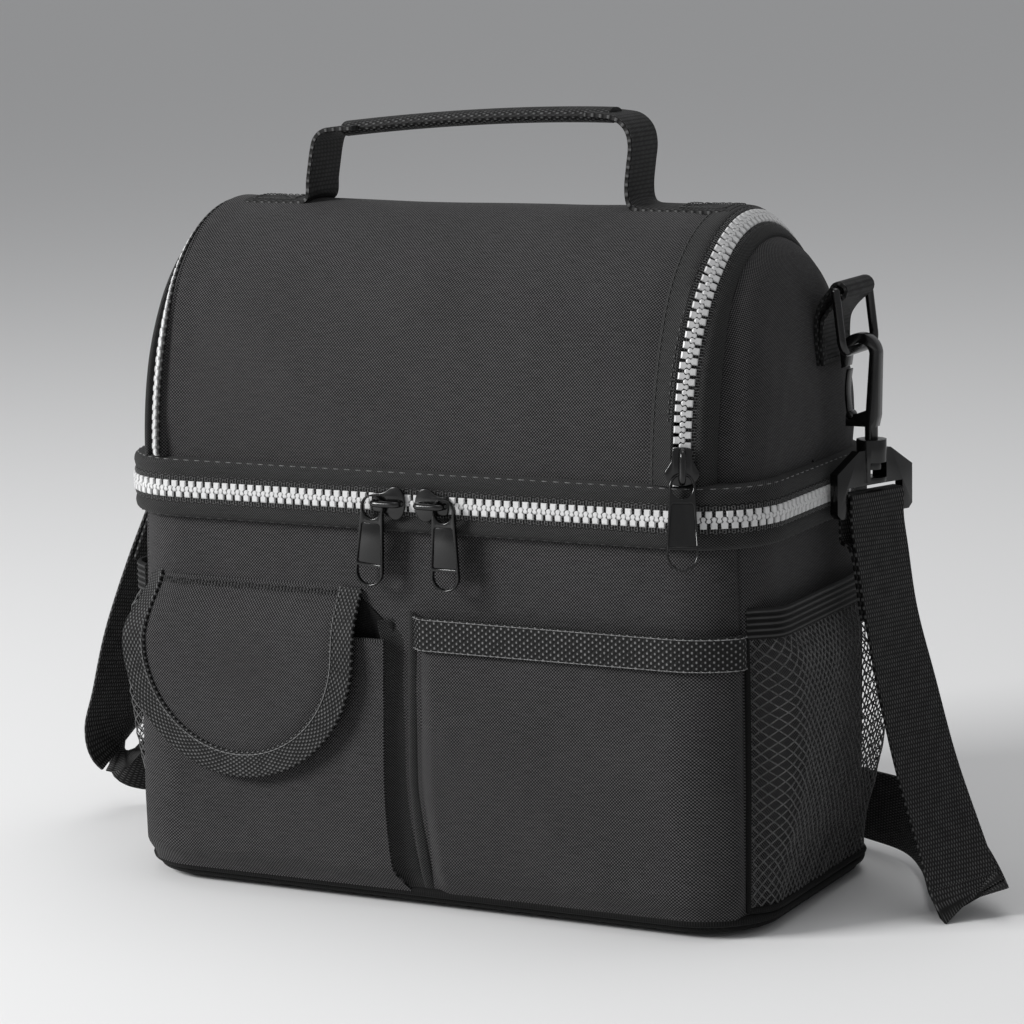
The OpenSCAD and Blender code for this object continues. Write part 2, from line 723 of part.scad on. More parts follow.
// Strap fittings, drawn for the right end. The ring's lower bar is where the hook hangs.
function lean(side) = side > 0 ? lean_right : lean_left;
function bar_at(side) =
    [side * (tab_x + ring_h * sin(lean(side))), ring_y, ring_z - ring_h * cos(lean(side))];
module d_ring(side) {
    bend = 5;
    w = ring_in + ring_wire;
    color(plastic) mirror([side < 0 ? 1 : 0, 0, 0])
        translate([tab_x, ring_y, ring_z])
            rotate([0, -lean(side), 0]) {
                translate([0, w, 0]) rotate([90, 0, 0]) cylinder(r = ring_wire, h = 2 * w);
                translate([0, w - bend, -ring_h])
                    rotate([90, 0, 0])
                        cylinder(r = ring_wire, h = 2 * (w - bend));
                for (k = [-1, 1]) {
                    translate([0, k * w, bend - ring_h]) cylinder(r = ring_wire, h = ring_h - bend);
                    translate([0, k * w, 0]) sphere(ring_wire);
                    translate([0, k * (w - bend), bend - ring_h])
                        rotate([0, 90, 0])
                            rotate([0, 0, k > 0 ? 0 : -90])
                                rotate_extrude(angle = 90) translate([bend, 0]) circle(ring_wire);
                }
            }
}
module d_ring_left() { d_ring(-1); }
module d_ring_right() { d_ring(1); }
module at_bar(side) { translate(bar_at(side)) mirror([side < 0 ? 1 : 0, 0, 0]) children(); }

// Snap hook: a bow over the ring, a stout spine, a base with the gate's seat, and a swivel stem
gate_x = -3.4;
gate_z = -26.5;
gate_r = 1.6;
hook_base = -31;
module snap_hook(side) {
    spine = bow_x + bow_in;
    color(plastic) at_bar(side) {
        difference() {
            translate([0, hook_t / 2, 0])
                rotate([90, 0, 0])
                    linear_extrude(hook_t) {
                        translate([bow_x, bow_z])
                            intersection() {
                                difference() {
                                    circle(bow_out);
                                    circle(bow_in);
                                }
                                translate([-bow_out, 0]) square(2 * bow_out);
                            }
                        polygon([[bow_x - bow_out, bow_z], [bow_x - bow_in, bow_z],
                            [bow_x - bow_in - 0.8, bow_z - 5], [bow_x - bow_out + 0.6, bow_z - 6]]);
                        polygon([[spine, bow_z], [bow_x + bow_out, bow_z],
                            [bow_x + bow_out - 0.6, gate_z], [swivel_x + stem_r, hook_base],
                            [gate_x - gate_r, hook_base], [gate_x - gate_r, gate_z],
                            [gate_x + gate_r, gate_z], [spine - 1.6, gate_z + 2]]);
                    }
            translate([gate_x, hook_t, gate_z])
                rotate([90, 0, 0])
                    cylinder(r = gate_r + fit, h = 2 * hook_t);
        }
        translate([swivel_x, 0, yoke_top - 9 - gap])
            cylinder(r = stem_r, h = hook_base - yoke_top + 9 + gap + 0.5);
        translate([swivel_x, 0, yoke_top - 12]) cylinder(r = stem_head_r, h = 3 - gap);
    }
}
module snap_hook_left() { snap_hook(-1); }
module snap_hook_right() { snap_hook(1); }

// Sprung gate: a barrel in the base's seat and a thin bowed leaf up to the nose
module hook_gate(side) {
    top = bow_z - 6 - gap;
    leaf_r = 46;
    leaf_h = top - gate_z;
    tilt = asin(leaf_h / 2 / leaf_r);
    color(plastic) at_bar(side)
        translate([0, hook_t / 2 - gap, 0])
            rotate([90, 0, 0])
                linear_extrude(hook_t - 2 * gap) {
                    translate([gate_x, gate_z]) circle(gate_r);
                    translate([gate_x + leaf_r * cos(tilt) - 1.2, gate_z + leaf_h / 2])
                        intersection() {
                            difference() {
                                circle(leaf_r, $fn = 96);
                                circle(leaf_r - 1.3, $fn = 96);
                            }
                            translate([-leaf_r, -leaf_h / 2]) square([leaf_r, leaf_h]);
                        }
                }
}
module hook_gate_left() { hook_gate(-1); }
module hook_gate_right() { hook_gate(1); }

// Swivel yoke: a bossed frame with a window for the stem's head and a slot for the strap
module swivel_yoke(side) {
    shoulder = yoke_h - 10;
    half = yoke_w / 2;
    window_z = yoke_h - 9 - 6;
    slot_half = strap_w / 2 + 0.8;
    color(plastic) translate(bar_at(side))
        translate([side * swivel_x, 0, yoke_top - yoke_h])
            rotate([0, 0, side > 0 ? yoke_turn_right : yoke_turn_left])
                difference() {
                    union() {
                        translate([0, yoke_t / 2, 0])
                            rotate([90, 0, 0])
                                linear_extrude(yoke_t)
                                    polygon([[-half + 2, 0], [-slot_half, 0], [-slot_half, bar_z],
                                        [slot_half, bar_z], [slot_half, 0], [half - 2, 0], [half, 2],
                                        [half, shoulder - 2],
                                        [boss_r + 3, yoke_h - 4], [-boss_r - 3, yoke_h - 4],
                                        [-half, shoulder - 2], [-half, 2]]);
                        translate([0, 0, window_z - 2]) cylinder(r = boss_r, h = yoke_h - window_z + 2);
                    }
                    translate([-stem_head_r - 0.6, -2 * yoke_w, window_z])
                        cube([2 * stem_head_r + 1.2, 4 * yoke_w, 6]);
                    translate([0, 0, window_z]) cylinder(r = stem_r + fit, h = yoke_h);
                    translate([-slot_half, -yoke_t, bar_z + bar_h])
                        cube([2 * slot_half, 2 * yoke_t, slot_h]);
                }
}
module swivel_yoke_left() { swivel_yoke(-1); }
module swivel_yoke_right() { swivel_yoke(1); }

// Shoulder strap: flat ribbons along chosen points, each with the direction of the strap's width
function unit(v) = v / norm(v);
module ribbon(route, w) {
    n = len(route);
    rings = [for (i = [0:n - 1])
        let (along = route[min(i + 1, n - 1)][0] - route[max(i - 1, 0)][0])
        let (side = unit(route[i][1]) * w / 2, out = unit(cross(route[i][1], along)) * strap_t / 2)
        [for (k = [[-1, -1], [1, -1], [1, 1], [-1, 1]]) route[i][0] + side * k[0] + out * k[1]]];
    points = [for (ring = rings) each ring];
    faces = concat([[3, 2, 1, 0]],
        [for (i = [0:n - 2], j = [0:3]) let (a = 4 * i + j, b = 4 * i + (j + 1) % 4)
            each j == 2 ? [[a, b, a + 4], [b, b + 4, a + 4]] : [[a, b, b + 4], [a, b + 4, a + 4]]],
        [[for (j = [0:3]) 4 * n - 4 + j]]);
    polyhedron(points, faces);
}
// The sewn end goes up behind the strap, round the yoke's bar and down in front
function bar_loop(side, turn) =
    let (c = bar_at(side) + [side * swivel_x, 0, yoke_top - yoke_h], out = side * [sin(turn), -cos(turn), 0])
    let (far = strap_t / 2 + 0.2, r = yoke_t / 2 + far, top = bar_z + bar_h)
    [for (p = [[-r, -9], [-r, top - 0.4], [-r + 0.3, top + 0.75], [-r + far, top + far + 0.05],
        [r - far, top + far + 0.05], [r - 0.3, top + 0.75], [r, top - 0.4], [r, -2]])
        [c + out * p[0] + [0, 0, p[1]], [cos(turn), sin(turn), 0]]];
// Rows hold the distance past the body's end, the depth, the height and the direction of the width
function past_end(side, rows) = [for (r = rows) [[side * (half_l + r[0]), r[1], r[2]], r[3]]];
function hang_dir(turn) = [cos(turn), sin(turn), 0];
route_right = concat(
    past_end(1, [for (p = [[24.6, 15.4, 114], [20, 17, 140]]) [p[0], p[1], p[2], hang_dir(yoke_turn_right)]]),
    bar_loop(1, yoke_turn_right),
    past_end(1, [[22, 16.5, 140, hang_dir(yoke_turn_right)], [26.6, 14.8, 115, hang_dir(yoke_turn_right)],
    [34, 12, 88, [0.46, 0.88, 0.05]], [44, 8, 56, [0.5, 0.86, 0.14]], [56, 3, 27, [0.53, 0.81, 0.24]],
    [63, -1, 12, [0.56, 0.76, 0.3]], [66, -2, 7, [0.56, 0.76, 0.3]], [65.5, 1, 6.2, [0.56, 0.76, 0.3]],
    [59, 11, 9, [0.52, 0.72, 0.46]], [48, 27, 13, [0.42, 0.52, 0.74]], [32, 50, 16, [0.25, 0.3, 0.92]],
    [12, 72, 17, [0.1, 0.12, 0.99]], [-16, 88, 17, [0, 0, 1]]]));
route_rear = concat(
    past_end(1, [[-16, 88, 17, [0, 0, 1]], [-45, 94, 17, [0, 0, 1]], [-80, 97, 17, [0, 0, 1]]]),
    [for (p = [[22, 98.8], [12.2, 98.8], [2.5, 103.6], [-2.5, 103.6], [-12.2, 98.8], [-22, 98.8]])
        [[p[0], p[1], 17], [0, 0, 1]]],
    past_end(-1, [[-80, 97, 17, [0, 0, 1]], [-45, 94, 17, [0, 0, 1]], [-16, 88, 17, [0, 0, 1]]]));
route_left = concat(
    past_end(-1, [for (p = [[32.6, 18.4, 114], [24, 19, 140]]) [p[0], p[1], p[2], hang_dir(yoke_turn_left)]]),
    bar_loop(-1, yoke_turn_left),
    past_end(-1, [[26, 19, 140, hang_dir(yoke_turn_left)], [34.6, 18, 115, hang_dir(yoke_turn_left)],
    [48, 16, 82, [0.4, 0.9, -0.1]], [59, 15, 54, [0.36, 0.9, -0.2]], [64, 16, 38, [0.3, 0.87, -0.38]],
    [64, 20, 27, [0.24, 0.8, -0.55]], [59, 27, 21, [0.2, 0.6, -0.77]], [48, 41, 18, [0.15, 0.35, -0.92]],
    [32, 60, 17, [0.05, 0.1, -0.99]], [10, 78, 17, [0, 0, -1]], [-16, 88, 17, [0, 0, -1]]]));
module strap_right() { color(webbing) ribbon(route_right, strap_w); }
module strap_rear() { color(webbing) ribbon(route_rear, strap_w); }
module strap_left() { color(webbing) ribbon(route_left, strap_w); }

// Slide adjuster on the strap behind the bag: a frame with a middle bar
module strap_adjuster() {
    frame_l = 34;
    rim = 4;
    color(plastic) translate([0, 101.2, 17])
        rotate([90, 0, 0])
            linear_extrude(2.4, center = true)
                difference() {
                    square([frame_l, strap_w + 2 * rim], center = true);
                    for (k = [-1, 1])
                        translate([k * (frame_l - rim) / 4, 0])
                            square([(frame_l - 3 * rim) / 2, strap_w + 1], center = true);
                }
}

base_panel();
base_piping();
lower_shell();
lower_foam();
lower_liner();
lower_band();
lower_zip_tape();
lower_zip_teeth();
rear_hinge_lower();
pouch_panel();
pouch_gusset();
pouch_loop_tape();
flap_header();
right_pocket_panel();
right_pocket_band();
mesh_pocket_left();
mesh_pocket_right();
mesh_elastic_left();
mesh_elastic_right();
strap_left();
strap_rear();
strap_right();
strap_adjuster();
flap_panel();
flap_trim();
flap_hook_tape();
slider_left();
pull_left();
slider_right();
pull_right();
upper_band();
divider_panel();
upper_liner();
rear_hinge_upper();
upper_zip_tape();
upper_zip_teeth();
end_panel_left();
end_panel_right();
arch_tape_end();
arch_teeth_end();
ring_tab_left();
ring_tab_right();
arch_slider();
arch_pull();
cover_shell();
cover_foam();
cover_liner();
arch_tape_cover();
arch_teeth_cover();
handle_anchor();
handle_webbing();
handle_grip();
d_ring_left();
d_ring_right();
snap_hook_left();
snap_hook_right();
hook_gate_left();
hook_gate_right();
swivel_yoke_left();
swivel_yoke_right();
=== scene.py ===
"""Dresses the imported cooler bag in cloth, webbing, zips and moulded fittings, in a plain studio."""

from __future__ import annotations

import logging
import math
from dataclasses import dataclass, field
from enum import Enum
from typing import Optional, Sequence

import bmesh
import bpy
import numpy as np
from mathutils import Matrix, Vector, noise
from mathutils.geometry import tessellate_polygon

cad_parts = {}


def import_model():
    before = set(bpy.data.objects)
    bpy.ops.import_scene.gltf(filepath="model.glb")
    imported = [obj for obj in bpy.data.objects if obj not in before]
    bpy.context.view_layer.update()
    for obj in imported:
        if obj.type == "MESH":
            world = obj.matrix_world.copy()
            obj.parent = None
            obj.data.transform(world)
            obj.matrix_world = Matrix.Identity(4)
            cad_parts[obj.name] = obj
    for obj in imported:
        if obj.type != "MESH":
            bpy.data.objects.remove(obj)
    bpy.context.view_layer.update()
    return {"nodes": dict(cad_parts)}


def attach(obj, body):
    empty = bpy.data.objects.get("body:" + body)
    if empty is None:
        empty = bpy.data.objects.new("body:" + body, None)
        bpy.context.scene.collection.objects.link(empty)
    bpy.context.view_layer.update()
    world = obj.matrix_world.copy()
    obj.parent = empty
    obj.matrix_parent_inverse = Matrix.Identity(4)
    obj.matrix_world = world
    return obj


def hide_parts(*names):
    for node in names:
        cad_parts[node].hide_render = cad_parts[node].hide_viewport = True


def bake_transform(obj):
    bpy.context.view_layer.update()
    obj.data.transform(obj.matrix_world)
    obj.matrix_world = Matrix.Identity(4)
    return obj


LOG = logging.getLogger("cooler_bag")
MM = 0.001
Loop = Sequence[tuple[float, float]]
Flat = tuple[float, float]


class Side(Enum):
    """The two ends of the bag."""

    LEFT = -1
    RIGHT = 1

    @property
    def label(self) -> str:
        """The end's name, as the CAD bodies and nodes write it."""
        return self.name.lower()


class Row(Enum):
    """The two rows of a zip: the one that stays and the one that opens."""

    LOWER = 0
    UPPER = 1


# Shapes and small tools


@dataclass(frozen=True)
class BagShape:
    """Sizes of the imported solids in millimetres, and the two curves that the cloth follows."""

    half_l: float = 140.0
    half_d: float = 70.0
    corner_r: float = 30.0
    base_t: float = 3.0
    wall_top: float = 152.2
    low_band_top: float = 157.2
    zip_z: float = 164.0
    up_band_z: float = 170.8
    seam_z: float = 176.0
    dome_h: float = 99.0
    crown_r: float = 62.0
    arch_x: float = 118.0
    cover_half: float = 111.0
    panel_x: float = 125.0
    lining_out: float = -7.3

    @property
    def ridge_z(self) -> float:
        """Height of the cover's ridge."""
        return self.seam_z + self.dome_h

    @property
    def straight(self) -> float:
        """Half of the straight part of the front."""
        return self.half_l - self.corner_r

    @property
    def flat(self) -> float:
        """Half of the straight part of an end."""
        return self.half_d - self.corner_r

    @property
    def legs(self) -> list[float]:
        """Lengths of the outline's straights and corners, from the middle of the front to the right."""
        bend = self.corner_r * math.pi / 2
        one = self.straight
        two = 2 * self.flat
        return [one, bend, two, bend, 2 * one, bend, two, bend, one]

    @property
    def around(self) -> float:
        """Length of the body's outline."""
        return sum(self.legs)

    @property
    def side_r(self) -> float:
        """Radius of the arch's side arcs."""
        return (self.half_d**2 + self.dome_h**2 - 2 * self.dome_h * self.crown_r) / (2 * (self.half_d - self.crown_r))

    @property
    def side_a(self) -> float:
        """Angle, in degrees, where a side arc meets the crown."""
        return math.degrees(math.atan2(self.dome_h - self.crown_r, self.side_r - self.half_d))

    @property
    def arch_len(self) -> float:
        """Length of the arched profile, seam to seam."""
        return math.radians(2 * self.side_r * self.side_a + self.crown_r * (180 - 2 * self.side_a))

    def plan(self, s: np.ndarray, out: np.ndarray | float = 0.0) -> np.ndarray:
        """Points of the body's outline.

        Args:
            s: distances along the outline from the middle of the front, towards the right end.
            out: how far each point stands outside the outline.

        Returns:
            One row per point: x, y and the outward direction's x and y.
        """
        s = np.mod(np.atleast_1d(np.asarray(s, float)), self.around)
        out = np.broadcast_to(np.asarray(out, float), s.shape)
        edges = np.concatenate([[0.0], np.cumsum(self.legs)])
        turns = [-90, -90, 0, 0, 90, 90, 180, 180, 270]
        a, b = self.straight, self.flat
        centres = [(0, -b), (a, -b), (a, -b), (a, b), (a, b), (-a, b), (-a, b), (-a, -b), (-a, -b)]
        rows = np.zeros((len(s), 4))
        for k, (turn, centre) in enumerate(zip(turns, centres)):
            here = (s >= edges[k]) & (s <= edges[k + 1])
            run = s[here] - edges[k]
            bend = k % 2 == 1
            angle = np.radians(turn + (np.degrees(run / self.corner_r) if bend else 0 * run))
            ahead = 0 * run if bend else run
            nx, ny = np.cos(angle), np.sin(angle)
            reach = self.corner_r + out[here]
            rows[here] = np.stack([centre[0] + nx * reach - ny * ahead, centre[1] + ny * reach + nx * ahead, nx, ny], 1)
        return rows

    def arch(self, a: np.ndarray, out: np.ndarray | float = 0.0) -> np.ndarray:
        """Points of the arched profile.

        Args:
            a: lean of the outward direction in degrees, from 0 at the front seam to 180 at the back seam.
            out: how far each point stands outside the profile.

        Returns:
            One row per point: y, z and the outward direction's y and z.
        """
        a = np.atleast_1d(np.asarray(a, float))
        t = np.radians(a)
        side_c = self.side_r - self.half_d
        on_side = (a < self.side_a) | (a > 180 - self.side_a)
        r = np.where(on_side, self.side_r, self.crown_r) + out
        cy = np.where(a < self.side_a, side_c, np.where(on_side, -side_c, 0.0))
        cz = np.where(on_side, 0.0, self.dome_h - self.crown_r)
        ny, nz = -np.cos(t), np.sin(t)
        return np.stack([cy + r * ny, self.seam_z + cz + r * nz, ny, nz], 1)

    def lean(self, s: np.ndarray | float) -> np.ndarray:
        """Leans, in degrees, at distances s along the arched profile from the front seam."""
        s = np.atleast_1d(np.asarray(s, float))
        side = math.radians(self.side_r * self.side_a)
        up = np.degrees(s / self.side_r)
        down = 180 - np.degrees((self.arch_len - s) / self.side_r)
        over = self.side_a + np.degrees((s - side) / self.crown_r)
        return np.where(s < side, up, np.where(s > self.arch_len - side, down, over))


def ripple(points: np.ndarray, size: float, seed: float) -> np.ndarray:
    """Smooth noise from -1 to 1 over a grid of points, with bumps of about size millimetres."""
    flat = points.reshape(-1, 3) / size + seed
    values = np.array([noise.noise(Vector(p)) for p in flat])
    return values.reshape(points.shape[:-1])


def spline(points: Sequence, step: float, closed: bool = False) -> np.ndarray:
    """Smooth rows through the given rows.

    Args:
        points: rows whose first columns are a place; further columns are carried along.
        step: distance between the new rows.
        closed: whether the last row runs on to the first.

    Returns:
        The new rows.
    """
    rows = np.asarray(points, float)
    ends = [rows[-1:], rows[:2]] if closed else [2 * rows[:1] - rows[1:2], 2 * rows[-1:] - rows[-2:-1]]
    ext = np.vstack([ends[0], rows, ends[1]])
    out = []
    for i in range(len(rows) if closed else len(rows) - 1):
        p0, p1, p2, p3 = ext[i : i + 4]
        n = max(1, math.ceil(np.linalg.norm((p2 - p1)[:3]) / step))
        t = (np.arange(n) / n)[:, None]
        out.append(0.5 * (2 * p1 + (p2 - p0) * t + (2 * p0 - 5 * p1 + 4 * p2 - p3) * t**2 + (3 * p1 - p0 - 3 * p2 + p3) * t**3))
    return np.vstack(out if closed else out + [rows[-1:]])


def unit(rows: np.ndarray) -> np.ndarray:
    """Rows scaled to length one."""
    return rows / np.maximum(np.linalg.norm(rows, axis=-1, keepdims=True), 1e-9)


def lengths(grid: np.ndarray, axis: int, wrap: bool) -> np.ndarray:
    """Mean running length of a grid along one of its axes, with the closing step where it wraps."""
    if wrap:
        grid = np.concatenate([grid, np.take(grid, [0], axis)], axis)
    steps = np.linalg.norm(np.diff(grid, axis=axis), axis=2).mean(1 - axis)
    return np.concatenate([[0.0], np.cumsum(steps)])


def sheet(
    name: str,
    grid: np.ndarray,
    wrap_u: bool = False,
    wrap_v: bool = False,
    uv: Optional[np.ndarray] = None,
    faces_to: Optional[Sequence[float]] = None,
) -> bpy.types.Object:
    """A surface of four-sided faces through a grid of points.

    Args:
        name: the object's name.
        grid: points in millimetres, as rows of columns.
        wrap_u: whether the last row joins the first.
        wrap_v: whether the last column joins the first.
        uv: flat places of the points in millimetres; by default the running lengths of the grid.
        faces_to: a point that the faces look away from.

    Returns:
        The new object, whose UV map is in metres.
    """
    n, m = grid.shape[:2]
    if uv is None:
        u, v = lengths(grid, 0, wrap_u), lengths(grid, 1, wrap_v)
        uv = np.stack(np.meshgrid(u, v, indexing="ij"), 2)
    quads = []
    corners = []
    for i in range(n if wrap_u else n - 1):
        for j in range(m if wrap_v else m - 1):
            k, l = (i + 1) % n, (j + 1) % m
            quads.append((i * m + j, k * m + j, k * m + l, i * m + l))
            corners.append(((i, j), (i + 1, j), (i + 1, j + 1), (i, j + 1)))
    if faces_to is not None:
        flat = grid.reshape(-1, 3)
        middle = np.array(faces_to, float)
        a, b, c = (flat[[q[k] for q in quads]] for k in (0, 1, 2))
        looks = (np.cross(b - a, c - a) * (a - middle)).sum()
        if looks < 0:
            quads = [q[::-1] for q in quads]
            corners = [c[::-1] for c in corners]
    mesh = bpy.data.meshes.new(name)
    mesh.from_pydata((grid.reshape(-1, 3) * MM).tolist(), [], quads)
    layer = mesh.uv_layers.new(name="cloth")
    layer.data.foreach_set("uv", np.array([uv[min(i, uv.shape[0] - 1), min(j, uv.shape[1] - 1)] * MM for c in corners for i, j in c]).ravel())
    return link(name, mesh)


def link(name: str, mesh: bpy.types.Mesh) -> bpy.types.Object:
    """A new object in the scene for a mesh."""
    obj = bpy.data.objects.new(name, mesh)
    bpy.context.scene.collection.objects.link(obj)
    return obj


def sweep(name: str, path: np.ndarray, across: np.ndarray, section: np.ndarray, closed: bool = False) -> bpy.types.Object:
    """A closed section carried along a path.

    Args:
        name: the object's name.
        path: points in millimetres.
        across: the section's first direction at each point.
        section: rows of two numbers, along the first direction and along the strip's outer face.
        closed: whether the path ends where it starts.

    Returns:
        The new object, whose UV map has the section's first number and the running length.
    """
    ahead = np.roll(path, -1, 0) - np.roll(path, 1, 0) if closed else np.gradient(path, axis=0)
    side = unit(across - unit(ahead) * (unit(ahead) * across).sum(1, keepdims=True))
    out = unit(np.cross(ahead, side))
    grid = path[:, None] + side[:, None] * section[None, :, :1] + out[:, None] * section[None, :, 1:]
    run = lengths(path[:, None], 0, closed)
    around = np.concatenate([section[:, 0], section[:1, 0]])
    uv = np.stack(np.meshgrid(run, around, indexing="ij"), 2)[:, :, ::-1]
    obj = sheet(name, grid, wrap_u=closed, wrap_v=True, uv=uv)
    mend(obj, fill=not closed)
    return obj


def mend(obj: bpy.types.Object, fill: bool = False, merge: float = 0.0) -> None:
    """Closes open ends and turns the faces outwards.

    Args:
        obj: a mesh object.
        fill: whether open ends get a cap.
        merge: distance in millimetres under which points are joined first.
    """
    work = bmesh.new()
    work.from_mesh(obj.data)
    if merge:
        bmesh.ops.remove_doubles(work, verts=work.verts, dist=merge * MM)
    if fill:
        bmesh.ops.holes_fill(work, edges=[e for e in work.edges if e.is_boundary], sides=0)
    bmesh.ops.recalc_face_normals(work, faces=work.faces)
    work.to_mesh(obj.data)
    work.free()


def strap_section(width: float, thick: float) -> np.ndarray:
    """Section of flat webbing with softened edges and points across its faces."""
    w, t, c = width / 2, thick / 2, min(0.35, thick / 3)
    face = np.linspace(-w + c, w - c, 7)
    low = [(a, -t) for a in face]
    high = [(a, t) for a in face[::-1]]
    return np.array([(-w, -t + c)] + low + [(w, -t + c), (w, t - c)] + high + [(-w, t - c)])


def tube(name: str, path: np.ndarray, radius: float, sides: int = 10, closed: bool = False, flatten: float = 1.0) -> bpy.types.Object:
    """A round or oval rod along a path of points in millimetres."""
    ahead = unit(np.roll(path, -1, 0) - np.roll(path, 1, 0) if closed else np.gradient(path, axis=0))
    side = np.cross(ahead[0], (0.0, 0.0, 1.0))
    if np.linalg.norm(side) < 0.2:
        side = np.cross(ahead[0], (0.0, 1.0, 0.0))
    frames = []
    for a in ahead:
        side = unit(side - a * side.dot(a))
        frames.append(side)
    turn = np.linspace(0, 2 * math.pi, sides, endpoint=False)
    section = np.stack([np.cos(turn) * radius, np.sin(turn) * radius * flatten], 1)
    return sweep(name, path, np.array(frames), section, closed)


def arc(centre: tuple[float, float], r: float, start: float, stop: float, n: int) -> list[tuple[float, float]]:
    """Points on an arc, with its ends given in degrees."""
    return [(centre[0] + r * math.cos(math.radians(a)), centre[1] + r * math.sin(math.radians(a))) for a in np.linspace(start, stop, n)]


def inset(loop: np.ndarray, by: float) -> np.ndarray:
    """A closed outline moved towards its left side, point by point."""
    ahead = np.roll(loop, -1, 0) - np.roll(loop, 1, 0)
    return loop + by * unit(np.column_stack([-ahead[:, 1], ahead[:, 0]]))


def plate(name: str, loops: Sequence[Loop], thick: float, bevel: float) -> bpy.types.Object:
    """A moulded plate with rounded edges, in its own X and Y, centred on Z.

    Args:
        name: the object's name.
        loops: the outline anticlockwise and then any holes clockwise, in millimetres.
        thick: thickness of the plate.
        bevel: radius of its rounded edges.

    Returns:
        The new mesh object.
    """
    h, part = thick / 2, 0.29 * bevel
    levels = [(-h, bevel), (-h + part, part), (-h + bevel, 0), (h - bevel, 0), (h - part, part), (h, bevel)]
    rings = [np.array(loop, float) for loop in loops]
    points, faces, rims = [], [], {0: [], len(levels) - 1: []}
    for ring in rings:
        n = len(ring)
        for k, (z, by) in enumerate(levels):
            base = len(points)
            points += [(x * MM, y * MM, z * MM) for x, y in inset(ring, by)]
            if k in rims:
                rims[k] += range(base, base + n)
            if k:
                faces += [(base - n + i, base - n + (i + 1) % n, base + (i + 1) % n, base + i) for i in range(n)]
    caps = tessellate_polygon([[Vector((x, y, 0)) for x, y in inset(ring, bevel)] for ring in rings])
    for index in rims.values():
        faces += [tuple(index[i] for i in cap) for cap in caps]
    mesh = bpy.data.meshes.new(name)
    mesh.from_pydata(points, [], faces)
    obj = link(name, mesh)
    mend(obj, merge=0.001)
    return obj


def join(name: str, parts: Sequence[bpy.types.Object]) -> bpy.types.Object:
    """Makes one object of several."""
    work = bmesh.new()
    for part in parts:
        work.from_mesh(part.data)
        bpy.data.objects.remove(part)
    mesh = bpy.data.meshes.new(name)
    work.to_mesh(mesh)
    work.free()
    return link(name, mesh)


def move(obj: bpy.types.Object, place: Matrix) -> bpy.types.Object:
    """Carries a mesh to its place in the frame; a mirrored mesh has its faces turned back."""
    obj.data.transform(place)
    if place.determinant() < 0:
        obj.data.flip_normals()
    return obj


def frame_at(place: Sequence[float], x: Sequence[float], y: Sequence[float], z: Sequence[float]) -> Matrix:
    """A matrix that sets a piece's X, Y and Z at a place given in millimetres."""
    turn = Matrix((x, y, z)).transposed().to_4x4()
    return Matrix.Translation(Vector(place) * MM) @ turn


def bake(obj: bpy.types.Object) -> bpy.types.Object:
    """Applies an object's modifiers, so that it is a plain mesh."""
    bpy.context.view_layer.update()
    graph = bpy.context.evaluated_depsgraph_get()
    mesh = bpy.data.meshes.new_from_object(obj.evaluated_get(graph), preserve_all_data_layers=True, depsgraph=graph)
    obj.modifiers.clear()
    obj.data = mesh
    return obj


def thicken(obj: bpy.types.Object, thick: float) -> bpy.types.Object:
    """Gives a sheet its thickness, inwards from its faces."""
    wall = obj.modifiers.new("wall", "SOLIDIFY")
    wall.thickness = thick * MM
    wall.offset = -1
    return bake(obj)


def dress(
    obj: bpy.types.Object,
    finish: bpy.types.Material,
    body: str,
    replaced: Sequence[str] = (),
    sharp: float = 40.0,
) -> bpy.types.Object:
    """Gives a finished piece its material and its body, and hides the solids that it stands for.

    Args:
        obj: the piece, in place.
        finish: its material.
        body: the CAD body that it rides on.
        replaced: CAD nodes that it stands for.
        sharp: edges that turn by more than this many degrees stay crisp.

    Returns:
        The same object.
    """
    paint(obj, finish, replaced, sharp)
    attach(obj, body)
    LOG.info("%s rides on %s", obj.name, body)
    return obj


def paint(obj: bpy.types.Object, finish: bpy.types.Material, replaced: Sequence[str] = (), sharp: float = 40.0) -> None:
    """Gives a piece its material and smooth faces, and hides the solids that it stands for."""
    obj.data.materials.clear()
    obj.data.materials.append(finish)
    obj.data.shade_smooth()
    obj.data.set_sharp_from_angle(angle=math.radians(sharp))
    if replaced:
        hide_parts(*replaced)


# Materials


def linear(code: str) -> tuple[float, float, float, float]:
    """Turns an sRGB hex colour into a linear one."""
    parts = [int(code[i : i + 2], 16) / 255 for i in (1, 3, 5)]
    r, g, b = (c / 12.92 if c <= 0.04045 else ((c + 0.055) / 1.055) ** 2.4 for c in parts)
    return (r, g, b, 1.0)


def add_node(tree: bpy.types.NodeTree, kind: str, inputs: Optional[dict] = None, **settings: object) -> bpy.types.Node:
    """Adds a node.

    Args:
        tree: the node tree.
        kind: the node's type name.
        inputs: values or sockets for its inputs, by name or number.
        settings: its other settings.

    Returns:
        The new node.
    """
    node = tree.nodes.new(kind)
    for key, value in settings.items():
        setattr(node, key, value)
    for key, value in (inputs or {}).items():
        if isinstance(value, bpy.types.NodeSocket):
            tree.links.new(value, node.inputs[key])
        else:
            node.inputs[key].default_value = value
    return node


def start_material(name: str) -> tuple[bpy.types.Material, bpy.types.NodeTree, bpy.types.Node]:
    """A new material with only its shader and output, as material, tree and shader."""
    material = bpy.data.materials.new(name)
    material.use_nodes = True
    tree = material.node_tree
    tree.nodes.clear()
    shader = add_node(tree, "ShaderNodeBsdfPrincipled")
    add_node(tree, "ShaderNodeOutputMaterial", {"Surface": shader.outputs["BSDF"]})
    return material, tree, shader


